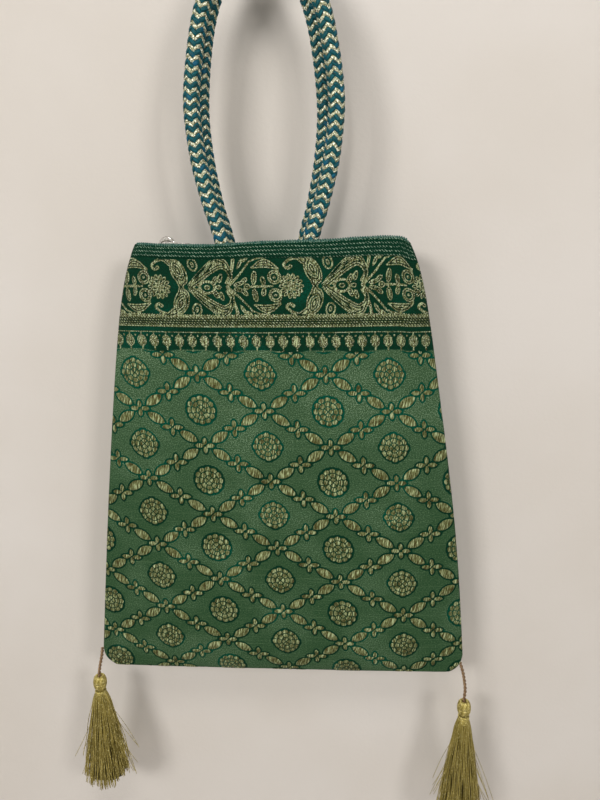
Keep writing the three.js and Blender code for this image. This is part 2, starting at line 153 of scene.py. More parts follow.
def put(name, node, points, faces, material, body, uv, attributes=None):
    """A mesh piece in a CAD node's place, from points in millimetres and a list of face arrays. If the
    closed surface's signed volume, the sum of each face's corner products, is negative, every face is
    turned round."""
    points = np.asarray(points, float)
    faces = [np.asarray(f, int) for f in faces if len(f)]
    volume = 0
    for f in faces:
        for k in range(1, f.shape[1] - 1):
            a, b, c = points[f[:, 0]], points[f[:, k]], points[f[:, k + 1]]
            volume += np.einsum("ij,ij->", a, np.cross(b, c))
    if volume < 0:
        faces = [f[:, ::-1] for f in faces]
    mesh = bpy.data.meshes.new(name)
    mesh.vertices.add(len(points))
    mesh.vertices.foreach_set("co", (points * MM).astype(np.float32).ravel())
    corners = np.concatenate([f.ravel() for f in faces])
    sizes = np.concatenate([np.full(len(f), f.shape[1]) for f in faces])
    mesh.loops.add(len(corners))
    mesh.loops.foreach_set("vertex_index", corners.astype(np.int32))
    mesh.polygons.add(len(sizes))
    mesh.polygons.foreach_set("loop_start", np.concatenate([[0], np.cumsum(sizes)[:-1]]).astype(np.int32))
    mesh.polygons.foreach_set("use_smooth", np.ones(len(sizes), bool))
    mesh.update(calc_edges=True)
    layer = mesh.uv_layers.new(name="cloth")
    layer.data.foreach_set("uv", np.asarray(uv, np.float32)[corners].ravel())
    for key, values in (attributes or {}).items():
        mesh.attributes.new(key, "FLOAT", "POINT").data.foreach_set("value", values.astype(np.float32))
    mesh.validate()
    piece = bpy.data.objects.new(name, mesh)
    scene.collection.objects.link(piece)
    mesh.materials.append(material)
    if body:
        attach(piece, body)
    if node:
        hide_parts(node)
    return piece


def grid_faces(rows, columns, wrap_columns=False, start=0):
    """Quads between neighbouring points of a grid stored row by row."""
    across = columns if wrap_columns else columns - 1
    r, c = np.meshgrid(np.arange(rows - 1), np.arange(across), indexing="ij")
    here = start + r * columns + c
    right = start + r * columns + (c + 1) % columns
    return np.stack([here, right, right + columns, here + columns], -1).reshape(-1, 4)


def join(*parts):
    """Points, or a map, from one number or array for each coordinate, spread over the same grid."""
    return np.stack(np.broadcast_arrays(*parts), -1)


def fans(rows, columns, start=0):
    """One many-sided cap for each end of a tube stored ring by ring."""
    first = start + np.arange(columns)[::-1]
    last = start + (rows - 1) * columns + np.arange(columns)
    return np.stack([first, last])


def smooth(x, low, high):
    """0 below low, 1 above high, with a soft turn between them."""
    t = np.clip((x - low) / (high - low), 0, 1)
    return t * t * (3 - 2 * t)


def spline(points, count):
    """Points along a smooth curve through the given ones, evenly spaced along its length. Between two
    points it is the cubic whose slopes there are half the chord between their neighbours."""
    p = np.asarray(points, float)
    padded = np.vstack([2 * p[0] - p[1], p, 2 * p[-1] - p[-2]])
    t = np.linspace(0, len(p) - 1, 40 * (len(p) - 1) + 1)
    k = np.minimum(t.astype(int), len(p) - 2)
    f = (t - k)[:, None]
    a, b, c, d = padded[k], padded[k + 1], padded[k + 2], padded[k + 3]
    fine = b + f * (c - a) / 2 + f**2 * (a - 2.5 * b + 2 * c - d / 2) + f**3 * (1.5 * (b - c) + (d - a) / 2)
    run = np.concatenate([[0], np.cumsum(np.linalg.norm(np.diff(fine, axis=0), axis=1))])
    even = np.linspace(0, run[-1], count)
    return np.stack([np.interp(even, run, fine[:, i]) for i in range(3)], -1), run[-1]


def frames(path):
    """Two vectors square to a path at each point: one sideways, square to Y as well, and one forwards."""
    along = np.gradient(path, axis=0)
    along /= np.linalg.norm(along, axis=1)[:, None]
    side = np.cross(along, (0, 1, 0))
    side /= np.linalg.norm(side, axis=1)[:, None]
    return side, np.cross(side, along)


def tubes(paths, half_wide, half_thick, normals, sides):
    """Tubes of elliptic section along several paths at once. paths is (tube, step, 3), and normals is the
    direction of the section's thin way. Returns points, faces, each point's tube number, and its map:
    millimetres along the tube and share of a turn round it."""
    count, steps = paths.shape[:2]
    along = np.gradient(paths, axis=1)
    along /= np.linalg.norm(along, axis=2, keepdims=True)
    wide = np.cross(along, normals)
    wide /= np.linalg.norm(wide, axis=2, keepdims=True)
    thin = np.cross(wide, along)
    turn = TAU * np.arange(sides) / sides
    w = np.broadcast_to(half_wide, (count, steps))[:, :, None, None] * np.cos(turn)[:, None]
    t = np.broadcast_to(half_thick, (count, steps))[:, :, None, None] * np.sin(turn)[:, None]
    ring = paths[:, :, None] + w * wide[:, :, None] + t * thin[:, :, None]
    quads = np.concatenate([grid_faces(steps, sides, True, i * steps * sides) for i in range(count)])
    caps = np.concatenate([fans(steps, sides, i * steps * sides) for i in range(count)])
    run = np.cumsum(np.linalg.norm(np.diff(paths, axis=1, prepend=paths[:, :1]), axis=2), axis=1)
    run = np.broadcast_to(run[:, :, None], (count, steps, sides)).ravel()
    which = np.repeat(np.arange(count), steps * sides)
    around = np.tile(np.arange(sides) / sides, count * steps)
    return ring.reshape(-1, 3), [quads, caps], which, join(run, around)


# Materials

class Sock:
    """A node's output that can stand in a sum: each operator adds its Math node."""

    def __init__(self, shader, socket):
        self.shader = shader
        self.socket = socket

    def math(self, operation, *others):
        """A Math node over this output and the others."""
        return self.shader.node("ShaderNodeMath", {"operation": operation}, self, *others)

    __add__ = __radd__ = partialmethod(math, "ADD")
    __sub__ = partialmethod(math, "SUBTRACT")
    __mul__ = __rmul__ = partialmethod(math, "MULTIPLY")
    __truediv__ = partialmethod(math, "DIVIDE")
    __mod__ = partialmethod(math, "FLOORED_MODULO")
    __abs__ = partialmethod(math, "ABSOLUTE")
    least = partialmethod(math, "MINIMUM")
    most = partialmethod(math, "MAXIMUM")

    def __rsub__(self, other):
        return self * -1 + other

    def wave(self, length):
        """A sine wave of the given length."""
        return (self * (TAU / length)).math("SINE")

    def between(self, low, high):
        """0 where it is low, 1 where it is high, clamped."""
        settings = {"interpolation_type": "SMOOTHSTEP"}
        return self.shader.node("ShaderNodeMapRange", settings, self, low, high, 0.0, 1.0)


class Shader:
    """A material's nodes, ending in one Principled surface."""

    def __init__(self, name):
        self.material = bpy.data.materials.new(name)
        self.material.use_nodes = True
        self.tree = self.material.node_tree
        self.tree.nodes.clear()
        self.surface = self.tree.nodes.new("ShaderNodeBsdfPrincipled")
        self.end = self.tree.nodes.new("ShaderNodeOutputMaterial").inputs[0]
        self.tree.links.new(self.surface.outputs[0], self.end)

    def feed(self, socket, value):
        if isinstance(value, Sock):
            self.tree.links.new(value.socket, socket)
        else:
            socket.default_value = value

    def node(self, kind, settings, *inputs, out=0, **named):
        """Adds a node, sets it up, feeds its sockets in order or by name, and gives one output."""
        node = self.tree.nodes.new(kind)
        for key, value in settings.items():
            setattr(node, key, value)
        for socket, value in zip(node.inputs, inputs):
            self.feed(socket, value)
        for key, value in named.items():
            self.feed(node.inputs[key.replace("_", " ")], value)
        return Sock(self, node.outputs[out])

    def mix(self, factor, a, b):
        node = self.tree.nodes.new("ShaderNodeMix")
        node.data_type = "RGBA"
        node.clamp_factor = True
        for index, value in ((0, factor), (6, a), (7, b)):
            self.feed(node.inputs[index], value)
        return Sock(self, node.outputs[2])

    def layers(self, colour, *coats):
        """A colour with others laid over it in turn, each by its own factor."""
        for factor, over in coats:
            colour = self.mix(factor, colour, over)
        return colour

    def attribute(self, name):
        return self.node("ShaderNodeAttribute", {"attribute_name": name}, out="Fac")

    def cloth_uv(self):
        """The piece's own map as two numbers, in millimetres of cloth."""
        uv = self.node("ShaderNodeUVMap", {"uv_map": "cloth"})
        split = self.tree.nodes.new("ShaderNodeSeparateXYZ")
        self.feed(split.inputs[0], uv)
        return Sock(self, split.outputs[0]), Sock(self, split.outputs[1])

    def place(self):
        """Object coordinates, in metres."""
        return self.node("ShaderNodeTexCoord", {}, out="Object")

    def noise(self, where, scale, detail=2.0, rough=0.5):
        named = {"Vector": where, "Scale": scale, "Detail": detail, "Roughness": rough}
        return self.node("ShaderNodeTexNoise", {}, **named)

    def noise_at(self, x, y, z=0.0, detail=2.0, rough=0.5):
        """Noise with a grain of about 1, over numbers that are already scaled."""
        return self.noise(self.node("ShaderNodeCombineXYZ", {}, x, y, z), 1.0, detail, rough)

    def bump(self, height, distance, strength=1.0):
        return self.node("ShaderNodeBump", {}, Strength=strength, Distance=distance, Height=height)

    def finish(self, **values):
        for key, value in values.items():
            self.feed(self.surface.inputs[key.replace("_", " ")], value)
        return self.material


SAGE_DARK = rgb(38, 72, 44)
SAGE = rgb(57, 86, 56)
SAGE_LIGHT = rgb(103, 130, 95)
# Painted sheen: pale flecks where the satin ground seems to catch the light.
PAINTED_SHEEN = rgb(144, 172, 140)
TEAL_DARK = rgb(6, 38, 24)
TEAL = rgb(2, 56, 36)
# The outlines' brighter teal, shown only under the painted sheen.
TEAL_LIGHT = rgb(0, 86, 68)
GOLD_DARK = rgb(62, 55, 22)
GOLD = rgb(104, 110, 66)
# The floats' lighter tone, partly a painted highlight.
GOLD_LIGHT = rgb(186, 200, 154)
# Painted glint: bright specks on the gold.
PAINTED_GLINT = rgb(226, 236, 204)
HATCH = rgb(30, 48, 26)
HEM_DARK = rgb(30, 72, 56)
HEM_PALE = rgb(166, 194, 168)
CLOTH_FIELDS = ("gold", "shape", "border", "hem")
ROSETTE_RINGS = ((4, 0, 2.9), (8, 2.7, 5.7), (12, 5.4, 9))  # petals, inner and outer radius
ROSETTE_EDGE = 8.35
ROSETTE_REACH = 9.3
LINE_HALF = (0.4, 0.18)  # a line's outer edge and where it is full


def rosette_lines(m, u, v):
    """Thin lines between a rosette's petals: four in the middle, eight round them, twelve outside. Two
    petals part half way between their angles, and a ring's edge waves in between its petals."""
    from_u = abs((u + HALF_U) % (2 * HALF_U) - HALF_U)
    from_v = abs((v - FIRST_ROW + HALF_V) % (2 * HALF_V) - HALF_V)
    odd = (from_u / HALF_U + from_v / HALF_V).between(0.999, 1.001)
    x = from_u + odd * (HALF_U - 2 * from_u)
    y = from_v + odd * (HALF_V - 2 * from_v)
    reach = (x * x + y * y).math("SQRT")
    angle = y.math("ARCTAN2", x)
    lines = []
    for count, inside, outside in ROSETTE_RINGS:
        part = TAU / count
        turn = angle / part
        aside = abs(turn - turn.math("ROUND"))
        lines.append(((0.5 - aside) * part * reach).most(reach - outside).most(inside - reach))
        if count < 12:
            lines.append(abs(reach - outside + aside * aside * 2.6))
        else:
            lines.append((ROSETTE_EDGE - reach - aside * aside * 4.4).most(reach - ROSETTE_REACH))
    best = lines[0]
    for line in lines[1:]:
        best = best.least(line)
    return best.between(*LINE_HALF)


def brocade():
    """Jacquard cloth: sage satin speckled with gold weft, gold motifs of upright floats, and a dark
    outline wherever the cloth is near a motif but not on it. The hem is teal with rows of pale ticks,
    and the gold band over the buds is crossed by slanting dark hatches. A painted sheen lightens the
    ground and the outlines towards the top and in broad patches. On the gold, the lighter floats are
    partly a painted highlight, and pale specks are painted glints."""
    m = Shader("brocade")
    u, v = m.cloth_uv()
    gold, shape, border, hem = (m.attribute(field) for field in CLOTH_FIELDS)
    grain = m.noise_at(u * 1.9, v * 2.6, detail=1.0)
    fleck = m.noise_at(u * 1.15, v * 1.5, 7.0, rough=0.7)
    speck = m.noise_at(u * 1.7, v * 1.9, 9.0, detail=1.0)
    broad = m.noise_at(u * 0.03, v * 0.03, 3.0)
    slub = m.noise_at(u * 0.02, v * 1.3, 11.0, detail=0.0)
    drift = m.noise_at(u * 0.08, v * 0.08, 13.0, detail=0.0) * border * 9
    float_line = m.noise_at(u * 1.6 + v * 0.4 + drift, v * 0.2, 5.0, rough=0.6)
    # Painted sheen: strongest towards the top of the bag and in broad patches.
    painted_sheen = v.between(170.0, 60.0) * 0.5 + broad.between(0.4, 0.7) * 0.5
    on_gold = (gold + (grain - 0.5) * 0.4).between(0.12, -0.12)
    near = (shape + (grain - 0.5) * 0.3).between(1.12, 0.84)

    ground = m.layers(
        SAGE_DARK,
        (fleck.between(0.36, 0.6), SAGE),
        (fleck.between(0.54, 0.7) * 0.5, SAGE_LIGHT),
        (slub.between(0.66, 0.74) * 0.25, SAGE_LIGHT),
        # Painted sheen: the ground is lighter towards the top and in broad patches, with pale flecks.
        (painted_sheen * 0.22, SAGE_LIGHT),
        (speck.between(0.53, 0.65) * painted_sheen * 0.85, PAINTED_SHEEN),
        (speck.between(0.48, 0.35) * 0.65, SAGE_DARK),
    )
    weft = fleck.between(0.35, 0.65)
    teal, bright_teal = m.mix(weft, TEAL_DARK, TEAL), m.mix(weft, TEAL, TEAL_LIGHT)
    # Painted sheen on the outlines: bright teal under the field's painted sheen and in broad patches on the
    # border.
    field_painted_sheen, border_painted_sheen = painted_sheen.between(0.15, 0.6), broad.between(0.5, 0.7) * 0.6
    teal = m.mix(field_painted_sheen + border * (border_painted_sheen - field_painted_sheen), teal, bright_teal)
    vein = abs(gold + 0.85).between(0.36, 0.16).most(abs(gold + 1.95).between(0.36, 0.16))
    thread = m.layers(
        GOLD_DARK,
        (float_line.between(0.4, 0.52) * 0.9 + 0.1, GOLD),
        # lighter floats, partly a painted highlight
        (float_line.between(0.5, 0.68), GOLD_LIGHT),
        # painted glints: near-white specks, mostly on the border's gold
        (speck.between(0.54, 0.66) * (border * 0.8 + 0.1), PAINTED_GLINT),
        (vein * border, TEAL_DARK),
        (rosette_lines(m, u, v) * (1 - border), teal),
    )
    band = v.between(GOLD_TOP + 1.1, GOLD_TOP + 1.5) * v.between(TWILL_END - 0.5, TWILL_END - 0.9)
    hatch = (u - v * 0.95).wave(1.7) + (grain - 0.5) * 1.2
    rows = v.wave(1.9) * 0.5 + fleck * 1.6 - 0.55
    ticks = ((u * 0.9 - v * 1.25).wave(1.5) * 0.5 + rows).between(0.66, 0.94)
    edge = m.layers(
        TEAL_DARK,
        (grain.between(0.3, 0.7), TEAL),
        (ticks, m.mix(fleck.between(0.4, 0.65), HEM_DARK, HEM_PALE)),
    )
    colour = m.layers(
        ground,
        (border.most(near), teal),
        (on_gold, thread),
        (hatch.between(0.45, -0.1) * band * 0.95, HATCH),
        (hem, edge),
    )
    threads = (u.wave(0.62) + v.wave(0.5)) * 0.25
    height = threads + grain * 0.7 + float_line * on_gold * 1.3 + ticks * hem
    return m.finish(
        Base_Color=colour,
        Metallic=on_gold * (1 - hem) * 0.55,
        Roughness=0.62 - on_gold * 0.2 + (grain - 0.5) * 0.2,
        Specular_IOR_Level=0.06,
        Normal=m.bump(height, 0.00035, 0.7),
    )


YARN_PITCH = 0.55  # along the thread, from one filament to the next
YARN_TWIST = 2.2  # filaments round the thread


def yarn(name, dark, middle, light, shine):
    """Spun thread: fine filaments that run round and along it, with painted shade between them and a painted
    highlight on their backs.
    """
    m = Shader(name)
    along, around = m.cloth_uv()
    filament = ((along + around * (YARN_TWIST * YARN_PITCH)).wave(YARN_PITCH) + 1) * 0.5
    blotch = m.noise_at(along * 0.7, around * 3.0)
    return m.finish(
        Base_Color=m.layers(
            dark,
            # Darker between the filaments and lighter on their backs: painted shade and highlight.
            (filament * 0.6 + blotch * 0.5 - 0.1, middle),
            ((filament * blotch).between(0.35, 0.62), light),
        ),
        Metallic=shine,
        Roughness=0.5 - filament * 0.14,
        Normal=m.bump(filament, 0.0001, 0.8),
    )


def tassel_yarn():
    """Metallic tassel yarn: straw gold with painted glints along the threads, and painted shade, dark olive,
    on the skirt's core deep inside.
    """
    m = Shader("tassel_yarn")
    along, around = m.cloth_uv()
    tone = m.noise_at(along * 0.05, around * 0.2, 1.0, detail=1.0)
    painted_glint_and_bump = m.noise_at(along * 0.9, around * 1.0, 4.0)
    return m.finish(
        Base_Color=m.layers(
            rgb(124, 111, 44),
            (tone.between(0.3, 0.7), rgb(188, 172, 96)),
            (painted_glint_and_bump.between(0.52, 0.72), rgb(232, 221, 156)),
            # Painted shade: the skirt's core is dark olive.
            (m.attribute("inside"), rgb(62, 54, 16)),
        ),
        Metallic=0.55,
        Roughness=0.34 + tone * 0.2,
        Normal=m.bump(painted_glint_and_bump, 0.0001, 0.4),
    )


def braid():
    """The rope's carriers: silky teal ones and metallic gold ones, each of fine lengthwise filaments, with
    painted glints on the gold, and painted shade, darker, where one dives under the others."""
    m = Shader("braid")
    along, around = m.cloth_uv()
    is_gold = m.attribute("gold")
    lines = m.noise_at(along * 0.35, around * 15.0, is_gold * 5.0, rough=0.6)
    broad = m.noise_at(along * 0.13, is_gold * 9.0, 2.0, detail=1.0)
    facet_tone_and_painted_glint = m.noise_at(along * 1.3, around * 9.0, 6.0, detail=1.0)
    teal = m.layers(
        rgb(0, 36, 40),
        (lines.between(0.32, 0.6), rgb(0, 88, 96)),
        (broad.between(0.52, 0.75) * 0.6, rgb(4, 92, 134)),
    )
    gold = m.layers(
        rgb(84, 84, 50),
        (lines.between(0.34, 0.54), rgb(176, 178, 146)),
        # painted glints: near-white specks on the gold carriers
        (facet_tone_and_painted_glint.between(0.52, 0.64), rgb(250, 250, 232)),
        (facet_tone_and_painted_glint.between(0.44, 0.34) * 0.7, rgb(96, 92, 54)),
    )
    colour = m.mix(is_gold, teal, gold)
    # Painted shade: a carrier darkens where it dives under the others.
    shaded = m.mix(0.75, colour, rgb(0, 26, 28))
    return m.finish(
        Base_Color=m.mix(m.attribute("depth").between(0.0, 0.8), shaded, colour),
        Metallic=is_gold * 0.6,
        Roughness=0.42 + lines * 0.15,
        Specular_IOR_Level=0.2,
        Normal=m.bump(lines, 0.0003, 0.9),
    )


def zip_plate():
    """Plated zinc: mirror-like, with faint wear and casting ripple."""
    m = Shader("zip_plate")
    where = m.place()
    wear = m.noise(where, 900.0, 3.0)
    ripple = m.noise(where, 260.0, 1.0)
    return m.finish(
        Base_Color=m.mix(wear.between(0.4, 0.8), rgb(214, 212, 206), rgb(150, 146, 138)),
        Metallic=1.0,
        Roughness=0.12 + wear * 0.14,
        Normal=m.bump(ripple, 0.0002, 0.35),
    )


def plain_cloth(name, dark, light, pitch, rough):
    """A plain twill: diagonal ribs with a fine grain."""
    m = Shader(name)
    u, v = m.cloth_uv()
    rib = ((u + v).wave(pitch) + 1) * 0.5
    grain = m.noise_at(u * 2.5, v * 2.5)
    return m.finish(
        Base_Color=m.mix(rib * 0.5 + grain * 0.5, dark, light),
        Roughness=rough - rib * 0.1,
        Normal=m.bump(rib + grain * 0.6, 0.00025, 0.8),
        Sheen_Weight=0.2,
    )


def nylon():
    """Zip teeth: smooth dyed nylon with a faint mottling."""
    m = Shader("nylon")
    spot = m.noise(m.place(), 1400.0, 2.0)
    return m.finish(
        Base_Color=m.mix(spot, rgb(8, 60, 54), rgb(20, 100, 88)),
        Roughness=0.35 + spot * 0.2,
        Normal=m.bump(spot, 0.0001, 0.5),
    )


# The handles

# Half of each handle: distances from its middle and heights over the hem, from inside the bag to the top
FRONT_LOOP = [
    (20.6, -24), (21.6, -12), (23.2, 0), (25.8, 9.5), (29, 19), (34, 39), (36.6, 58.6), (37, 72.5),
    (34.8, 91.2), (30.8, 110.9), (24.6, 126.5), (17.2, 138.5), (9, 145.5), (0, 147.5),
]
BACK_LOOP = [
    (19.6, -24), (20.4, -12), (21.6, 0), (23.8, 9.5), (26.6, 19), (30.6, 39), (32.8, 58.6), (33, 72.5),
    (31.4, 91.2), (28, 110.9), (22.8, 126.5), (16.2, 138.5), (8.6, 145.5), (0, 147.5),
]
LOOPS = {1: (HANDLE_X, FRONT_LOOP), -1: (BACK_HANDLE_X, BACK_LOOP)}
CARRIERS = 8  # in each direction
CROSSING = 1.275  # rope length from one crossing to the next
STEPS_PER_CROSSING = 3
CARRIER_SIDES = 6
TEAL_HALVES = (1.2, 0.6)  # half a carrier's width and thickness
GOLD_HALVES = (1.1, 0.52)
GOLD_SINK = 0.12
BRAID_RADIUS = ROPE / 2 - 1.05
WEAVE = 0.5  # how far a carrier rises over the others and dives under them
PLATEAU = 1.7  # how flat it runs between
CORE_RADIUS = ROPE / 2 - 1.9


def loop_points(to_front):
    """A handle's whole route from its half loop, mirrored about the handle's middle."""
    middle, loop = LOOPS[to_front]
    half = np.array(loop, float)
    y = -to_front * (ROPE_Y + (HANG_Y - ROPE_Y) * np.clip(half[:, 1] / half[-1, 1], 0, 1))
    left = join(middle - half[:, 0], y, half[:, 1] + HEM_Z)
    right = join(middle + half[:, 0], y, half[:, 1] + HEM_Z)
    return np.vstack([left, right[-2::-1]])


def rope(face, to_front, material):
    """A braid of eight carriers each way round a plain core. Carrier i stands at the angle i/8 turn plus or
    minus a steady twist, and rides over two and under two of the others, as a wave of its angle says."""
    route = loop_points(to_front)
    steps = int(STEPS_PER_CROSSING * spline(route, 50)[1] / CROSSING)
    path, length = spline(route, steps)
    side, front = frames(path)
    crossing = np.linspace(0, length, steps) / CROSSING
    strands, normals, lift = [], [], []
    for way, first_over in ((1, 0.5), (-1, 2.5)):
        for i in range(CARRIERS):
            place = 2 * i + way * crossing
            angle = place * (TAU / (2 * CARRIERS))
            over = np.tanh(PLATEAU * np.cos((place - first_over) * (np.pi / 2))) / math.tanh(PLATEAU)
            radius = BRAID_RADIUS + WEAVE * over - GOLD_SINK * (i % 2)
            out = side * np.cos(angle)[:, None] + front * np.sin(angle)[:, None]
            strands.append(path + out * radius[:, None])
            normals.append(out)
            # 0 under the others and 1 over them: sets the braid's painted shade
            lift.append((over + 1) / 2)
    is_gold = np.arange(2 * CARRIERS) % 2
    wide, thick = (np.where(is_gold, g, t)[:, None] for g, t in zip(GOLD_HALVES, TEAL_HALVES))
    points, faces, which, uv = tubes(np.array(strands), wide, thick, np.array(normals), CARRIER_SIDES)
    uv[:, 0] += which * 13.7  # each carrier has filaments of its own
    core, core_faces, _, core_uv = tubes(path[None, ::6], CORE_RADIUS, CORE_RADIUS, front[None, ::6], 10)
    quads, core_caps = (f + len(points) for f in core_faces)
    none = np.zeros(len(core))
    piece = put(
        face + "_rope", face + "_handle", np.vstack([points, core]),
        [np.concatenate([faces[0], quads]), faces[1], core_caps],
        material, "bag", np.vstack([uv, core_uv]),
        {
            "gold": np.append(is_gold[which], none),
            "depth": np.append(np.repeat(np.array(lift).ravel(), CARRIER_SIDES), none),
        },
    )


# The cloth's form

def half_width(drop):
    """Half the bag's width: a straight flare, a swell under the hem, a slight bow and round corners."""
    straight = (
        TOP_HALF
        + (FOOT_HALF - TOP_HALF - SHOULDER) * (drop / HEIGHT)
        + SHOULDER * (1 - np.exp(-drop / SHOULDER_FALL))
        + SIDE_BOW * np.sin(np.pi * drop / HEIGHT)
    )
    in_corner = np.clip(drop - (HEIGHT - CORNER), 0, CORNER)
    return straight - CORNER + np.sqrt(CORNER**2 - in_corner**2)


def half_thickness(drop):
    """Half the bag's thickness: wide at the ropes, then the belly, then closing on the bottom seam."""
    fullness = BELLY_HALF + (MOUTH_HALF - BELLY_HALF) * (1 - smooth(drop, NECK_START, NECK_END))
    in_foot = np.clip((drop - (HEIGHT - FOOT_ROUND)) / FOOT_ROUND, 0, 1)
    return SEAM_HALF + (fullness - SEAM_HALF) * (1 - in_foot**2) ** 0.6


def cloth_inside(x, drop):
    """The cloth's inner side: how far it is from the middle plane."""
    across = np.clip(np.abs(x) / half_width(drop), 0, 1)
    return 0.15 + (half_thickness(drop) - SEAM_HALF) * (1 - across**3) ** 0.8


def folds(x, drop, to_front):
    """Soft unevenness of the hanging cloth: broad waves below the ropes, a slack belly, and puckers
    that run in from the side and bottom seams."""
    edge = half_width(drop) - np.abs(x)
    foot = HEIGHT - drop
    free = smooth(edge, 0, 26) * smooth(foot, 0, 30)
    broad = 0.8 * np.sin(x / 23 + 0.6 * to_front) * np.sin(drop / 47 + 0.8) * smooth(drop, 10, 70)
    drape = 0.7 * np.cos((x - HANDLE_X) / 14) * np.exp(-((drop - 45) / 40) ** 2)
    sidewise = np.sin(drop / 5.1 + np.sin(drop / 17) + np.sign(x)) * np.exp(-edge / 7) * 0.45
    upward = np.sin(x / 6.3 + np.sin(x / 19)) * np.exp(-foot / 8) * 0.4
    near_seam = smooth(edge, 0, 2.5) * smooth(foot, 0, 2.5)
    return free * (broad + drape) + near_seam * (sidewise + upward)


def fabric(x, drop):
    """Where a point of the bag lies on the woven pattern. Columns lean a little, rows sink a little to
    the right, and rows draw closer further down, as the cloth was sewn. Row and column hang on each
    other, so both are worked out three times over."""
    row = (drop - FIRST_ROW) / 20.3
    for _ in range(3):
        column = (x + 6.86 - 1.38 * row) / (35.55 - 0.062 * row)
        row = (drop - FIRST_ROW + 0.071 * row**2 - (0.527 + 0.067 * row) * column) / 20.78
    return HALF_U * column, FIRST_ROW + HALF_V * row


# Motifs: each function gives a signed distance in millimetres, below zero inside

def turned(x, y, at, turn):
    """Points as seen from a motif's middle, turned with it."""
    c, s = math.cos(turn), math.sin(turn)
    return (x - at[0]) * c + (y - at[1]) * s, (y - at[1]) * c - (x - at[0]) * s


def oval(x, y, at, size, turn=0.0):
    """An ellipse: how far the scaled radius is past 1, over its slope."""
    px, py = turned(x, y, at, turn)
    near = np.hypot(px / size[0], py / size[1])
    slope = np.hypot(px / size[0] ** 2, py / size[1] ** 2)
    return near * (near - 1) / np.maximum(slope, 1e-6)


def leaf(x, y, at, length, width, turn=0.0):
    """A pointed oval: two arcs through both tips."""
    px, py = turned(x, y, at, turn)
    radius = ((length / 2) ** 2 + (width / 2) ** 2) / width
    return np.hypot(px, np.abs(py) + radius - width / 2) - radius


def stroke(x, y, *points):
    """A brush stroke: the least distance to circles of changing size along a smooth line. Each point is
    x, y and the circle's radius there."""
    best = np.full(np.shape(x), 1e3)
    for a, b, radius in spline(points, 26)[0]:
        best = np.minimum(best, np.hypot(x - a, y - b) - radius)
    return best


def ring_of(x, y, count, at, size, lobe=0.0, swell=0.0):
    """Ovals set round a centre, each pointing outwards. With a lobe, each is a pair of ovals that lean
    apart, like a heart. Swell sets those on the axes further out and those between them further in."""
    part = TAU / count
    angle = np.arctan2(y, x) / part
    near = (angle - np.round(angle)) * part
    reach = np.hypot(x, y)
    out, aside = reach * np.cos(near) - swell * np.cos(4 * part * np.round(angle)), reach * np.sin(near)
    return oval(out, np.abs(aside), (at, lobe), size, 0.25) if lobe else oval(out, aside, (at, 0), size)


def least(*fields):
    """Several shapes as one: the nearest edge counts."""
    return np.minimum.reduce(fields)


def flower(x, y, long_petal, short_petal):
    """Four pointed petals, the level pair longer. x and y are distances from its centre."""
    level = leaf(x, y, (long_petal / 2 + 0.6, 0), long_petal, 2.5)
    upright = leaf(y, x, (short_petal / 2 + 0.5, 0), short_petal, 2.4)
    return least(level, upright)


def field_motifs(u, v):
    """The trellis: flowers at its crossings and half way along its sides, a leaf in each stretch
    between them, and a round rosette of petals in each diamond. Every other rosette is a little wider."""
    ru = np.abs((u + HALF_U) % (2 * HALF_U) - HALF_U)
    rv = np.abs((v - FIRST_ROW + HALF_V) % (2 * HALF_V) - HALF_V)
    odd = ru / HALF_U + rv / HALF_V > 1
    x = np.where(odd, HALF_U - ru, ru)
    y = np.where(odd, HALF_V - rv, rv)
    petals = ring_of(x, y, 12, np.where(odd, 6.6, 6.2), (1.7, 1.25), 0.62, np.where(odd, 0.0, 0.42))
    disc = np.hypot(x, y) - np.where(odd, 6.8, 6.3)
    crossing = least(flower(HALF_U - x, y, 5.1, 4.1), flower(x, HALF_V - y, 5.1, 4.1))
    side = flower(np.abs(x - HALF_U / 2), np.abs(y - HALF_V / 2), 5.6, 4.4)
    slant = -math.atan2(HALF_V, HALF_U)
    leaves = least(*(
        leaf(x, y, (share * HALF_U, (1 - share) * HALF_V), 11.0, 5.1, slant) for share in (0.75, 0.25)
    ))
    return least(petals, disc, crossing, side, leaves)


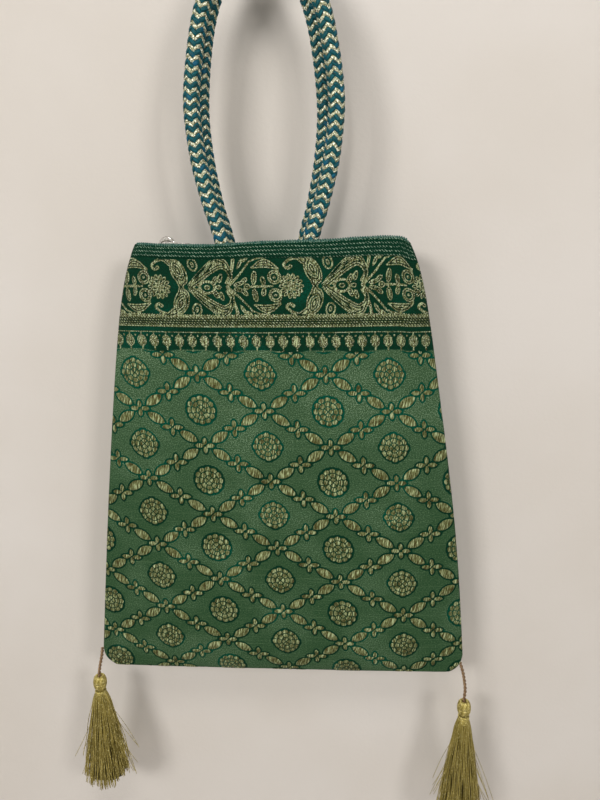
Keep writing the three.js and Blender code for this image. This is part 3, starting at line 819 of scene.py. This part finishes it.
def floral_motifs(u, v):
    """The border's repeat, mirrored about its middle line: a round flower, a pair of paisleys, a
    serrated medallion with a palmette in it, crossing stems, a fan, crescents and scrolls."""
    x = (u - ROUND_FLOWER_U) % (2 * HALF_U)
    from_flower = np.minimum(x, 2 * HALF_U - x)
    y = np.abs(v - FLORAL_MIDDLE)
    blob, blade, brush = (partial(shape, x, y) for shape in (oval, leaf, stroke))
    round_flower = least(
        ring_of(from_flower, y, 14, 4.9, (1.6, 0.95)), ring_of(from_flower, y, 8, 2.2, (1.1, 0.7)),
        np.hypot(from_flower, y) - 0.9,
    )
    paisley = least(
        blob((11.6, 7.6), (7.0, 4.1), 2.0), brush((12.4, 0.5, 1.4), (12.2, 3.0, 2.2)),
        brush((7.2, 12.8, 2.0), (3.4, 14.3, 1.1), (-0.6, 13.0, 0.7)),
    )
    inner_leaf = blade((11.2, 8.6), 8.6, 3.9, 2.0)
    paisley = np.maximum(paisley, 0.32 - np.abs(inner_leaf))
    end = (-0.6, 13.0, 0.7), (-3.2, 10.6, 0.7), (-1.6, 8.8, 0.7), (0.2, 9.8, 1.0)
    curl = least(*(stroke(x - shift, y, *end) for shift in (0, 2 * HALF_U)))
    small_bud = blob((19.6, 11.6), (2.3, 3.1), 0.3)
    small_bud = least(np.abs(small_bud) - 0.42, small_bud + 1.5)
    rim = brush((17.2, 0, 1.3), (22, 4.4, 2.2), (28, 9.2, 2.7), (34.5, 12.2, 2.8), (38.4, 9.2, 1.5))
    teeth = np.sin((x * 0.75 - y * 0.8) * (TAU / 1.9))
    outer = smooth(y - 0.72 * (x - 17), -1.0, 2.0)
    rim = rim + 0.55 * teeth * outer
    back = brush((38.4, 9.2, 1.5), (39.4, 5.4, 1.1), (37.6, 1.6, 0.7))
    palmette = least(
        np.abs(blob((26.4, 0), (3.9, 3.0))) - 0.6, blob((26.4, 0), (1.7, 1.2)),
        blob((30.8, 3.4), (1.35, 2.5), -0.5), blob((33.8, 4.6), (1.2, 2.5), -0.3),
        blob((32.6, 0), (1.5, 1.2)), blob((22.0, 1.4), (1.2, 0.8), 0.6),
    )
    stems = least(
        brush((37.2, 0, 0.8), (43.5, 5.6, 0.55), (49.6, 12.4, 0.5)),
        brush((49.6, 12.6, 0.45), (57, 14.0, 0.4), (64.6, 7.6, 0.4)),
        brush((36.6, 2.2, 0.5), (40.2, 8.2, 0.7), (41.4, 13.6, 0.9)),
        blade((44.6, 11.6), 6.4, 1.9, 1.05), blade((47.4, 13.4), 4.0, 1.6, 0.5),
    )
    fan = least(
        blob((43.4, 1.5), (2.9, 1.1), 0.25), blob((46.2, 3.0), (2.3, 1.2), 0.7),
        blob((47.6, 0), (1.7, 1.6)), blob((51.6, 4.4), (1.5, 3.5), -0.15),
        blob((56.2, 2.8), (1.3, 2.3), 0.2), brush((50, 0, 0.6), (61, 0, 0.5)),
    )
    crescent = brush((50.8, 9.4, 0.5), (57.4, 11.4, 2.1), (64.6, 8.8, 0.5))
    scroll = np.hypot(x - 62.2, y - 4.5)
    scroll = least(np.abs(scroll - 2.7) - 0.85, scroll - 0.8)
    return least(round_flower, paisley, curl, small_bud, rim, back, palmette, stems, fan, crescent, scroll)


def stripe_motifs(u, v):
    """Below the flowers: a gold comb over a solid band, thin lines and the row of buds."""
    comb = np.maximum(GOLD_TOP - v - 0.45 * np.sin(u * (TAU / 1.4)), v - GOLD_TOP - 1.5)
    twill = np.maximum(GOLD_TOP + 1.5 - v, v - TWILL_END + 0.9)
    lines = least(np.abs(v - TWILL_END + 0.3) - 0.32, np.abs(v - GREEN_END) - 0.24)
    pitch = 2 * HALF_U / 10
    x = (u + pitch / 2) % pitch - pitch / 2
    bud = oval(x, v, (0, BUD_MIDDLE), (2.6, 3.2))
    rib = least(np.abs(bud + 0.62) - 0.14, np.abs(x) - 0.14)
    bud = least(
        np.maximum(bud, -rib), stroke(x, v, (0, BUD_MIDDLE + 3, 0.42), (0, 57.2, 0.36)),
        stroke(x, v, (0, GREEN_END, 0.25), (0, BUD_MIDDLE - 3, 0.3)),
    )
    dot = np.hypot(np.abs(x) - pitch / 2, v - GREEN_END - 1.9) - 0.55
    return least(comb, twill, lines, bud, dot)


def pattern(u, v):
    """The whole cloth's gold, the field's motifs alone, and where the teal border ground lies. The ground
    ends in small arches over the field."""
    arch = FIELD_TOP - 0.6 + 2.4 * (1 - np.abs(((u / HALF_U) % 1.0) * 2 - 1)) ** 3
    field = field_motifs(u, v) + np.where(v < FIELD_TOP, FAR, 0.0)
    flowers = np.where(np.abs(v - FLORAL_MIDDLE) < FLORAL_HALF, floral_motifs(u, v), FAR)
    return least(field, flowers, stripe_motifs(u, v)), field, smooth(arch - v, -0.3, 0.3)


# The cloth's two sides

def hem_drop(x):
    """The groove under the folded hem: the hem is deeper to the right."""
    return HEM_LEFT + (HEM_RIGHT - HEM_LEFT) * (x + TOP_HALF) / (2 * TOP_HALF)


def top_rise(x):
    """How far the mouth's edge rises over or dips below a level line."""
    ends = 0.9 * smooth(-x, 56, 74) - 3.0 * smooth(x, 66, 76) ** 2
    return 1.9 * smooth(x, 20, 62) - 1.3 * np.exp(-((x + 32) / 22) ** 2) + ends


COLUMNS = 270
FINE_ROWS = 118
PLAIN_ROWS = 196
CORNER_ROWS = 22
INNER_ROWS = 14
RELIEF = 0.28  # height of the gold motifs
OUTLINE_SINK = 0.16  # depth of the outline round them
GROOVE = 0.5  # depth of the seam under the hem
HEM_THICK = 0.45
LIP = 0.9  # drop over which the mouth's edge is rounded


def cloth_rows():
    """Drops of the outer rows, finer over the border, and of the few inner ones."""
    fine = np.linspace(0, FIELD_TOP + 3, FINE_ROWS, endpoint=False)
    plain = np.linspace(FIELD_TOP + 3, HEIGHT - CORNER, PLAIN_ROWS, endpoint=False)
    corner = HEIGHT - CORNER + CORNER * np.sin(np.linspace(0, np.pi / 2, CORNER_ROWS))
    corner[-1] = HEIGHT
    inner = np.append(np.linspace(0, HEIGHT - CORNER, INNER_ROWS), HEIGHT - CORNER * np.array([0.5, 0.1]))
    return np.concatenate([fine, plain, corner]), inner


def rounded(distance, radius):
    """A quarter circle's height: 0 at an edge, 1 from the radius on."""
    return np.sqrt(np.clip(1 - (np.clip(radius - distance, 0, radius) / radius) ** 2, 0, 1))


def cloth_surface(drop, to_front, outer):
    """Points of one side of a panel: rows of drops by columns that crowd towards the seams. The outer
    side stands a cloth's thickness over the inner one, more on the motifs and the hem, and rolls in to
    meet it at the edges."""
    s = np.linspace(-1, 1, COLUMNS)
    across = 0.55 * s + 0.45 * np.sin(s * np.pi / 2)
    d, a = np.meshgrid(drop, across, indexing="ij")
    wide = half_width(d)
    x = a * wide
    u, v = fabric(x * to_front + (0 if to_front > 0 else BACK_SHIFT), d)
    hem = smooth(hem_drop(x) - d, -0.2, 0.3)
    y = cloth_inside(x, d)
    if outer:
        gold, shape, border = pattern(u, v)
        roll = rounded(wide - np.abs(x), CLOTH) * rounded(HEIGHT - d, CLOTH)
        outline = OUTLINE_SINK * smooth(0.9 - shape, 0, 0.3) * (gold > 0)
        relief = RELIEF * smooth(-gold, -0.15, 0.35) - outline
        groove = -GROOVE * np.exp(-((d - hem_drop(x) - 0.4) / 0.5) ** 2)
        thick = CLOTH * roll * (0.3 + 0.7 * rounded(d, LIP))
        y = y + thick + (relief * (1 - hem) + groove + HEM_THICK * hem) * roll
    else:
        gold = shape = np.full(d.shape, FAR)
        border = np.ones(d.shape)
    y = np.maximum(y + folds(x, d, to_front) * smooth(d, 0, 14), 0.02)
    sway = SIDE_SWAY * np.sin(TAU * (d - 110) / 260) * smooth(x, 20, 90)
    z = HEM_Z - d + top_rise(x) * np.exp(-d / 26) - FOOT_TILT * x / FOOT_HALF * (d / HEIGHT) ** 4
    points = join(x + sway, -to_front * y, z)
    return points, join(u, v), gold, shape, border, hem


def stitch_rows(first, second):
    """Triangles that join two edges with unlike numbers of points."""
    faces, j = [], 0
    for i in range(len(first) - 1):
        want = round((i + 1) * (len(second) - 1) / (len(first) - 1))
        faces.append((first[i], first[i + 1], second[j]))
        while j < want:
            faces.append((first[i + 1], second[j + 1], second[j]))
            j += 1
    return np.array(faces)


def panel(face, to_front, material):
    """One side of the bag as a closed sheet: the patterned outer side, the plain inner side, and edges
    that join them along the hem, the side seams and the bottom seam."""
    outer_rows, inner_rows = cloth_rows()
    n, k = len(outer_rows), len(inner_rows)
    outer, inner = cloth_surface(outer_rows, to_front, True), cloth_surface(inner_rows, to_front, False)
    points, uv, *fields = (
        np.concatenate([side.reshape(COLUMNS * len(side), -1) for side in pair]) for pair in zip(outer, inner)
    )
    start = n * COLUMNS
    o = np.arange(n * COLUMNS).reshape(n, COLUMNS)
    i = start + np.arange(k * COLUMNS).reshape(k, COLUMNS)
    quads = [grid_faces(n, COLUMNS), grid_faces(k, COLUMNS, start=start)[:, ::-1]]
    for row_o, row_i, flip in ((o[0], i[0], 1), (o[-1], i[-1], -1)):
        strip = join(row_o[:-1], row_i[:-1], row_i[1:], row_o[1:])
        quads.append(strip[:, ::flip])
    seams = [stitch_rows(o[:, 0], i[:, 0]), stitch_rows(o[:, -1], i[:, -1])[:, ::-1]]
    piece = put(
        face + "_cloth", face + "_panel", points, [np.concatenate(quads), np.concatenate(seams)],
        material, "bag", uv, {key: values[:, 0] for key, values in zip(CLOTH_FIELDS, fields)},
    )


def put_sheet(name, node, grids, u, v, material):
    """A thin closed sheet that hangs in the bag, from its two sides' grids, the outer first: each side,
    and a rim of quads round all four edges."""
    rows, columns = u.shape
    o = np.arange(rows * columns).reshape(rows, columns)
    i = o + rows * columns
    edge_o, edge_i = (np.concatenate([e[0], e[1:, -1], e[-1, -2::-1], e[-2:0:-1, 0]]) for e in (o, i))
    rim = join(edge_o, edge_i, np.roll(edge_i, -1), np.roll(edge_o, -1))
    sides = grid_faces(rows, columns), grid_faces(rows, columns, start=o.size)[:, ::-1]
    points = np.concatenate([grid.reshape(-1, 3) for grid in grids])
    uv = np.tile(join(u, v).reshape(-1, 2), (2, 1))
    piece = put(name, node, points, [np.concatenate([*sides, rim])], material, "bag", uv)


def lining(face, to_front, material):
    """The thin cloth inside a panel: it follows the panel's folds and adds shallow ones of its own."""
    node = face + "_lining"
    low, high = node_box(node)
    drop = np.linspace(HEM_Z - high[2], HEM_Z - low[2], 110)
    d, a = np.meshgrid(drop, np.linspace(-1, 1, 100), indexing="ij")
    x = a * (half_width(d) - LINING_INSET)
    own = 0.5 * (np.sin(x / 8 + np.sin(d / 31)) - 1) * smooth(half_width(d) - np.abs(x), 6, 26)
    y = cloth_inside(x, d) + np.minimum(folds(x, d, to_front), 0) - LINING_LAY + own * smooth(d, 40, 90)
    grids = [
        join(x, -to_front * np.maximum(y - under, 0.2 + LINING - under), HEM_Z - d)
        for under in (0, LINING)
    ]
    put_sheet(node + "_cloth", node, grids, x, d, material)


def tape(face, to_front, material):
    """A zip tape: from beside the teeth out to the cloth and down it, passing inside the rope's ends."""
    node = face + "_zip_tape"
    low, high = node_box(node)
    top, foot = HEM_Z - high[2], HEM_Z - low[2]
    drop = np.concatenate([np.linspace(top, top + 6, 14), np.linspace(top + 6, foot, 16)[1:]])
    d, x = np.meshgrid(drop, np.linspace(low[0], high[0], 190), indexing="ij")
    middle, loop = LOOPS[to_front]
    from_rope = np.abs(np.abs(x - middle) - loop[1][0])
    beside = 1 - smooth(from_rope, ROPE / 2 + 2, ROPE + 7)
    to_cloth = cloth_inside(x, d) - 0.9
    reach = to_cloth + np.minimum(ROPE_Y - ROPE / 2 - 0.5 - to_cloth, 0) * beside
    start = SLOT_HALF - TAPE - 0.3
    y = start + (reach - TAPE - start) * smooth(d, top + 2.2, top + 6)
    ripple = 0.12 * np.sin(x / 5.3) * np.sin(x / 1.9) * smooth(d, top + 4, top + 9)
    grids = [join(x, -to_front * (y + ripple + over), HEM_Z - d) for over in (TAPE, 0)]
    across = np.cumsum(np.hypot(*(np.diff(g, axis=0, prepend=g[:1]) for g in (y, d))), axis=0)
    put_sheet(face + "_tape", node, grids, x, across, material)


STITCH_THREAD = (0.42, 0.26)
STITCH_REACH = 0.92
STITCH_ENDS = 2  # from the mouth's corners


def hem_stitching(face, to_front, material):
    """Overcast thread round the mouth's edge: a coil whose middle runs along the cloth's rim, a little
    uneven in its turns and its reach."""
    turns = round(2 * (TOP_HALF - STITCH_ENDS) / STITCH)
    t = np.linspace(0, 1, turns * 10)
    x = (2 * t - 1) * (TOP_HALF - STITCH_ENDS)
    turn = TAU * turns * t + 0.4 * np.sin(40 * t)
    rim = cloth_inside(x, 0.6) + CLOTH * 0.55
    reach = STITCH_REACH + 0.1 * np.sin(57 * t)
    y = rim + reach * np.cos(turn)
    z = HEM_Z + top_rise(x) - 0.45 + reach * 0.95 * np.sin(turn)
    path = join(x, -to_front * np.maximum(y, 0.7), z)
    out = join(0, -to_front * np.cos(turn), np.sin(turn))
    points, faces, _, uv = tubes(path[None], *STITCH_THREAD, out[None], 6)
    put(face + "_hem_stitching", None, points, faces, material, "bag", uv)


# The tassels

THREADS = 470
OPENING = 0.74  # power by which a skirt opens out from its neck
NECK_ROUND = 2.3  # radius of the skirt's core at the neck
HEAD_LOOPS = 46
STRAYS = 12
MAP_STEP = 7.3  # from one thread's map to the next one's
CORD_CLEAR = 0.8  # from the seam to the cord's start
CORD_PITCH = 5
PLY_OUT = 0.5  # from the cord's middle to a ply's
PLY_HALVES = (0.55, 0.52)
HEAD_RADII = (2.35, 1.62)  # of the ring, and of the thread wound through it
HEAD_THREAD = (0.34, 0.24)
SKIRT_THREAD = (0.2, 0.17)
STRAY_THREAD = (0.15, 0.15)
COIL_STEPS = 26  # for each turn
COIL_CLOSE = 0.92  # of a thread's width from one turn to the next

# "out" is -1 at the left and 1 at the right. "shift" moves the tassel from its CAD part to where the
# photograph shows it to hang, "cord" is how far sideways the cord has come at each fourth of its hang,
# "spread" is half the skirt's width and depth, "lean" its lean to the right, and "hem" its length at a
# distance from its middle. A stray thread ends at x, y and drop, and bows by the fourth number.
LEFT = {
    "name": "left", "out": -1, "exit_drop": HEIGHT - 12, "seed": 4,
    "shift": np.array([-3.0, 0, -0.6]), "cord": (0, 0.2, 0.5, 0.8, 1),
    "spread": (15.6, 10.6), "lean": 0.6,
    "hem": lambda end: 62.5 - 0.02 * (end + 1) ** 2 - 0.35 * np.maximum(end - 5, 0),
    "strays": [
        (-15.5, -3, 57, 1.2), (-14.0, 1, 60, -0.8), (-12.0, -2, 54, 0.6), (21.0, -2, 48, -1.5),
        (-11.5, 2, 63, 1.0), (17.5, 1, 57, 1.4), (-9.0, -4, 64, -0.6),
    ],
}
RIGHT = {
    "name": "right", "out": 1, "exit_drop": HEIGHT - 5, "seed": 9,
    "shift": np.array([2.8, 0, 2.6]), "cord": (0, 0.55, 0.9, 1.1, 1),
    "spread": (14.0, 10.4), "lean": -1.2,
    "hem": lambda end: 66.5 - 0.03 * (end + 2) ** 2,
    "strays": [
        (-18.0, -3, 47, 1.0), (-16.0, 2, 50, -0.6), (17.0, -2, 52, 1.8), (13.0, 1, 60, -1.0),
        (21.0, 0, 56, 2.6), (10.5, -4, 50, 1.2),
    ],
}


def hung_box(side, part):
    """The box of a tassel's CAD part, moved to where the photograph shows the tassel to hang."""
    return tuple(corner + side["shift"] for corner in node_box(side["name"] + "_tassel_" + part))


def hung_x(side):
    """Where the tassel's upright axis stands."""
    return sum(corner[0] for corner in hung_box(side, "head")) / 2


def cord(side, material):
    """The cord a tassel hangs by: two plies wound about each other, from the seam to the tassel's neck."""
    name, x = side["name"], hung_x(side)
    node = name + "_tassel_cord"
    start = side["out"] * (half_width(side["exit_drop"]) + CORD_CLEAR)
    top = HEM_Z - side["exit_drop"]
    foot = hung_box(side, "neck")[0][2]
    hang = top - (node_box(node)[0][2] + 0.8 + side["shift"][2])
    route = [(start + (x - start) * lean, 0, top - hang * i / 4) for i, lean in enumerate(side["cord"])]
    route += [(x, 0, z) for z in np.linspace(route[-1][2], foot, 3)[1:]]
    path, length = spline(route, 140)
    along = np.linspace(0, length, 140)
    across, front = frames(path)
    strands, outs = [], []
    for ply in (0, 1):
        angle = TAU * along / CORD_PITCH + ply * np.pi
        out = across * np.cos(angle)[:, None] + front * np.sin(angle)[:, None]
        strands.append(path + PLY_OUT * out)
        outs.append(out)
    points, faces, _, uv = tubes(np.array(strands), *PLY_HALVES, np.array(outs), 8)
    piece = put(name + "_cord_plies", node, points, faces, material, None, uv)
    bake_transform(piece)


def put_threads(side, piece, node, parts, material, attributes=None):
    """One piece of a tassel from several sets of tubes. Each tube's map starts somewhere else."""
    points, quads, caps, maps, start = [], [], {}, [], 0
    for p, (q, c), which, uv in parts:
        points.append(p)
        quads.append(q + start)
        caps.setdefault(c.shape[1], []).append(c + start)
        maps.append(uv + join(which * MAP_STEP, 0))
        start += len(p)
    faces = [np.concatenate(quads)] + [np.concatenate(c) for c in caps.values()]
    name = side["name"]
    put(
        name + piece, name + "_tassel_" + node, np.vstack(points), faces, material, name + "_tassel",
        np.vstack(maps), attributes,
    )


def coil(x, top, foot, radius, thread, lead=0.0):
    """A close coil of thread round an upright axis at x, from top down to foot. The radius is a number or
    a function of the share of the way down."""
    turns = (top - foot) / (2 * thread * COIL_CLOSE)
    t = np.linspace(0, 1, max(16, int(turns * COIL_STEPS)))
    angle = TAU * turns * t + lead
    ring = radius(t) if callable(radius) else np.full(t.shape, radius)
    path = join(x + ring * np.cos(angle), ring * np.sin(angle), top + (foot - top) * t)
    out = join(np.cos(angle), np.sin(angle), 0)
    return tubes(path[None], thread, thread, out[None], 6)


def tassel_head(side, material):
    """Thread wound through a ring, so that each turn is an oval loop that stands upright with one side in
    the middle hole, over a coil that fills the inside."""
    x = hung_x(side)
    (_, _, foot), (_, _, top) = hung_box(side, "head")
    turn = TAU * np.arange(HEAD_LOOPS) / HEAD_LOOPS
    t = np.linspace(0, TAU, 26)
    out = HEAD_RADII[0] + HEAD_RADII[1] * np.cos(t)
    up = (top + foot) / 2 + ((top - foot) / 2 - 0.15) * np.sin(t) * (1 - 0.12 * np.cos(t))
    lead = turn[:, None] + 0.5 * np.sin(t)
    c, s = np.cos(lead), np.sin(lead)
    paths = join(x + out * c, out * s, up)
    normals = join(np.cos(t) * c, np.cos(t) * s, np.sin(t))
    inner = coil(x, top - 0.8, foot + 0.6, lambda down: 2.3 + 1.2 * np.sin(np.pi * down), 0.55)
    put_threads(side, "_head_winding", "head", [tubes(paths, *HEAD_THREAD, normals, 6), inner], material)


def tassel_neck(side, material):
    """The binding under the head: two coils, the second over the first and shorter."""
    x = hung_x(side)
    (_, _, foot), (_, _, top) = hung_box(side, "neck")
    coils = [coil(x, top - 0.1, foot + 0.2, 3.12, 0.3), coil(x, top - 0.5, foot + 0.7, 3.3, 0.26, 1.0)]
    put_threads(side, "_neck_binding", "neck", coils, material)


def skirt_threads(side, rng, begin, flare, low):
    """The skirt's threads. Each starts near the middle of the neck, opens out by a power of the share of
    its length to a random place in an ellipse, and wavers on the way."""
    turn = TAU * rng.random(THREADS)
    share = np.sqrt(rng.random(THREADS)) * 0.97
    down = np.linspace(0, 1, 24)[None]
    ways = np.cos(turn), np.sin(turn)
    ends = [share * half * way for half, way in zip(side["spread"], ways)]
    ends[0] = ends[0] + side["lean"]
    reach = side["hem"](ends[0]) * (1 - 0.22 * rng.random(THREADS) ** 5 - 0.03 * rng.random(THREADS))
    waves = rng.random((4, THREADS, 1)) * TAU
    wander = rng.normal(0, 1.0, (2, THREADS, 1)) * down**1.2
    belly = 0.4 * np.sin(np.pi * np.clip(down * 4, 0, 1)) * share[:, None]
    level = []
    for end, way, drift, (slow, quick), (slow_rate, quick_rate) in zip(
        ends, ways, wander, (waves[:2], waves[2:]), ((3.1, 11), (2.7, 10))
    ):
        start = (2.2 * share * way)[:, None]
        bend = drift * np.sin(slow_rate * down + slow) + 0.5 * down * np.sin(quick_rate * down + quick)
        level.append(start + (end[:, None] - start) * down**OPENING + bend + belly * way[:, None])
    z = np.maximum(begin + (flare - reach[:, None] - begin) * down, low)
    return tubes(join(hung_x(side) + level[0], level[1], z), *SKIRT_THREAD, (0.3, -1, 0.1), 4)


def stray_threads(side, rng, flare, low):
    """Loose threads that stand out from the skirt: those of the photograph and some random ones."""
    way = np.sign(rng.random(STRAYS) - 0.5)
    more = join(
        way * side["spread"][0] * rng.uniform(0.95, 1.3, STRAYS) + side["lean"],
        rng.uniform(-6, 6, STRAYS), rng.uniform(40, 62, STRAYS), rng.normal(0, 1.6, STRAYS),
    )
    s = np.linspace(0, 1, 30)
    parts = []
    for dx, dy, down, bow in [*side["strays"], *more]:
        line = join(hung_x(side) + dx * s**1.3 + bow * np.sin(np.pi * s), dy * s, flare - down * s)
        line = np.maximum(line, [-1e3, -1e3, low])[None]
        parts.append(tubes(line, *STRAY_THREAD, (0, -1, 0.1), 4))
    return parts


def skirt_core(side, begin, flare):
    """The dense inside of the skirt: a fluted bell, which the yarn paints dark olive as painted shade."""
    rows, columns = 34, 96
    ring = np.linspace(0, TAU, columns, endpoint=False)
    rise = np.linspace(0, 0.86, rows)[:, None]
    flute = 1 + 0.07 * np.sin(9 * ring + 2.2 * np.sin(2 * ring)) * rise
    wide, deep = (
        NECK_ROUND + (half * 0.74 - NECK_ROUND) * rise**OPENING * flute for half in side["spread"]
    )
    height = begin - 0.4 - (begin - flare + SKIRT) * rise
    level = hung_x(side) + side["lean"] * rise + wide * np.cos(ring), deep * np.sin(ring)
    points = join(*level, height).reshape(-1, 3)
    uv = join(points[:, 2], np.tile(ring, rows))
    return points, [grid_faces(rows, columns, True), fans(rows, columns)], np.zeros(len(points)), uv


def tassel_skirt(side, material):
    """The skirt hangs from the neck's foot and stays over the foot of its CAD part's box."""
    rng = np.random.default_rng(side["seed"])
    flare = hung_box(side, "neck")[0][2] - 0.3
    (_, _, foot), (_, _, begin) = hung_box(side, "skirt")
    low = foot + 0.1
    threads = skirt_threads(side, rng, begin, flare, low)
    parts = [threads, *stray_threads(side, rng, flare, low), skirt_core(side, begin, flare)]
    # 1 on the skirt's core, which the yarn paints dark olive as painted shade.
    inside = np.concatenate([np.full(len(part[0]), float(part is parts[-1])) for part in parts])
    put_threads(side, "_skirt_yarn", "skirt", parts, material, {"inside": inside})


# The zip's hard parts

def slider_crest(material):
    """The crown of the slider's bridge: a leaf of metal along it, thick in the middle, thin at the ends."""
    low, high = node_box("zip_slider")
    along = np.linspace(-1, 1, 41)
    crown = np.maximum(1 - along**2, 0)
    middle = (low[0] + high[0]) / 2
    path = join(middle + 4.5 * along, 0, high[2] - 3.4 + 3.1 * crown**0.7)[None]
    points, faces, _, uv = tubes(
        path, (0.4 + 0.76 * crown**0.5)[None], (0.3 + 1.15 * crown)[None], (0, 0, 1), 20,
    )
    put("slider_crest", None, points, faces, material, "slider", uv)


def keep_metal():
    """The zip's hard parts stay as the CAD has them and get their materials."""
    teeth, plate = nylon(), zip_plate()
    slider_crest(plate)
    for node, material in (
        ("front_zip_teeth", teeth), ("back_zip_teeth", teeth), ("zip_top_stop", plate),
        ("zip_bottom_stop", plate), ("zip_slider", plate), ("zip_puller", plate),
    ):
        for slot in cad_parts[node].material_slots:
            slot.material = material


# The room

def seen_rays(tree):
    """1 for the rays that show a background: from the camera, in a reflection, or through glass."""
    path = tree.nodes.new("ShaderNodeLightPath")
    total = path.outputs["Is Camera Ray"]
    for kind in ("Is Glossy Ray", "Is Transmission Ray"):
        both = tree.nodes.new("ShaderNodeMath")
        both.operation = "ADD"
        both.use_clamp = True
        tree.links.new(total, both.inputs[0])
        tree.links.new(path.outputs[kind], both.inputs[1])
        total = both.outputs[0]
    return total


def choose(tree, factor, unseen, seen, end):
    """Ends a tree in one shader where the factor is 0 and another where it is 1."""
    choice = tree.nodes.new("ShaderNodeMixShader")
    for socket, source in zip(choice.inputs, (factor, unseen.outputs[0], seen.outputs[0])):
        tree.links.new(source, socket)
    tree.links.new(choice.outputs[0], end)


def wall_paint(name, colour, front_only):
    """Painted plaster: a faint mottling. A wall that is front_only is there for the rays that show a
    background and only from the front: from behind, and for soft light, every ray goes through it."""
    m = Shader(name)
    where = m.place()
    patch = m.noise(where, 7.0, 3.0)
    fine = m.noise(where, 420.0, 2.0)
    if front_only:
        shape = m.tree.nodes.new("ShaderNodeNewGeometry")
        solid = Sock(m, seen_rays(m.tree)) * (1 - Sock(m, shape.outputs["Backfacing"]))
        choose(m.tree, solid.socket, m.tree.nodes.new("ShaderNodeBsdfTransparent"), m.surface, m.end)
    return m.finish(
        Base_Color=m.mix(patch.between(0.3, 0.7), colour, rgb(205, 199, 192)),
        Roughness=0.75,
        Normal=m.bump(fine, 0.0004, 0.25),
        Specular_IOR_Level=0.3,
    )


def stage():
    """The pale wall that the bag hangs against, and the floor below it."""
    half, high = 1500, 900
    wall = [(-half, WALL_Y, FLOOR_Z), (half, WALL_Y, FLOOR_Z), (half, WALL_Y, high), (-half, WALL_Y, high)]
    floor = [(x * 2 * half, y * 2 * half, FLOOR_Z) for x, y in ((-1, -1), (1, -1), (1, 1), (-1, 1))]
    for name, corners, material in (
        ("wall", wall, wall_paint("wall_paint", rgb(211, 206, 201), True)),
        ("floor", floor, wall_paint("floor_paint", rgb(196, 190, 182), False)),
    ):
        mesh = bpy.data.meshes.new(name)
        mesh.from_pydata([tuple(c * MM for c in corner) for corner in corners], [], [(0, 1, 2, 3)])
        mesh.materials.append(material)
        piece = bpy.data.objects.new(name, mesh)
        scene.collection.objects.link(piece)


def lamp(name, at, size, power, colour):
    """An area light that faces the bag's middle."""
    data = bpy.data.lights.new(name, "AREA")
    data.shape = "RECTANGLE"
    data.size, data.size_y = size
    data.energy = power
    data.color = colour
    light = bpy.data.objects.new(name, data)
    scene.collection.objects.link(light)
    light.location = at
    light.rotation_euler = (Vector((0, 0, -0.25)) - Vector(at)).to_track_quat("-Z", "Y").to_euler()


def light_room():
    """Four soft lamps, and a world that gives weak soft light but is seen as a pale background."""
    lamp("window", (-1.0, -1.45, 0.45), (0.6, 0.45), 17, (1.0, 0.98, 0.95))
    lamp("far_window", (0.95, -1.2, 0.3), (0.36, 0.36), 7, (1.0, 0.98, 0.95))
    lamp("ceiling", (0.1, -0.7, 0.7), (0.3, 0.3), 3.4, (1.0, 0.97, 0.92))
    lamp("back_window", (-0.4, 1.5, 0.5), (0.8, 0.6), 10, (1.0, 0.98, 0.95))
    world = bpy.data.worlds.new("room")
    world.use_nodes = True
    tree = world.node_tree
    soft, pale = tree.nodes["Background"], tree.nodes.new("ShaderNodeBackground")
    for background, colour, strength in ((soft, rgb(214, 212, 210), 0.42), (pale, rgb(206, 201, 195), 1.0)):
        background.inputs[0].default_value = colour
        background.inputs[1].default_value = strength
    choose(tree, seen_rays(tree), soft, pale, tree.nodes["World Output"].inputs[0])
    scene.world = world
    scene.view_settings.view_transform = "Standard"


def main():
    add_camera()
    brocade_cloth, rope_yarn, gold = brocade(), braid(), tassel_yarn()
    brown = yarn("cord_yarn", rgb(84, 62, 42), rgb(140, 108, 76), rgb(206, 176, 130), 0.15)
    hem_thread = yarn("hem_thread", rgb(2, 64, 58), rgb(10, 110, 96), rgb(170, 196, 170), 0.0)
    lining_cloth = plain_cloth("lining_cloth", rgb(6, 58, 46), rgb(24, 104, 84), 0.5, 0.8)
    tape_cloth = plain_cloth("tape_cloth", rgb(4, 50, 44), rgb(14, 88, 76), 0.7, 0.85)
    faces = (("front", 1), ("back", -1))
    for face, to_front in faces:
        rope(face, to_front, rope_yarn)
    for side in (LEFT, RIGHT):
        cord(side, brown)
        for make in (tassel_head, tassel_neck, tassel_skirt):
            make(side, gold)
    for make, material in (
        (panel, brocade_cloth), (lining, lining_cloth), (tape, tape_cloth), (hem_stitching, hem_thread),
    ):
        for face, to_front in faces:
            make(face, to_front, material)
    keep_metal()
    stage()
    light_room()


main()
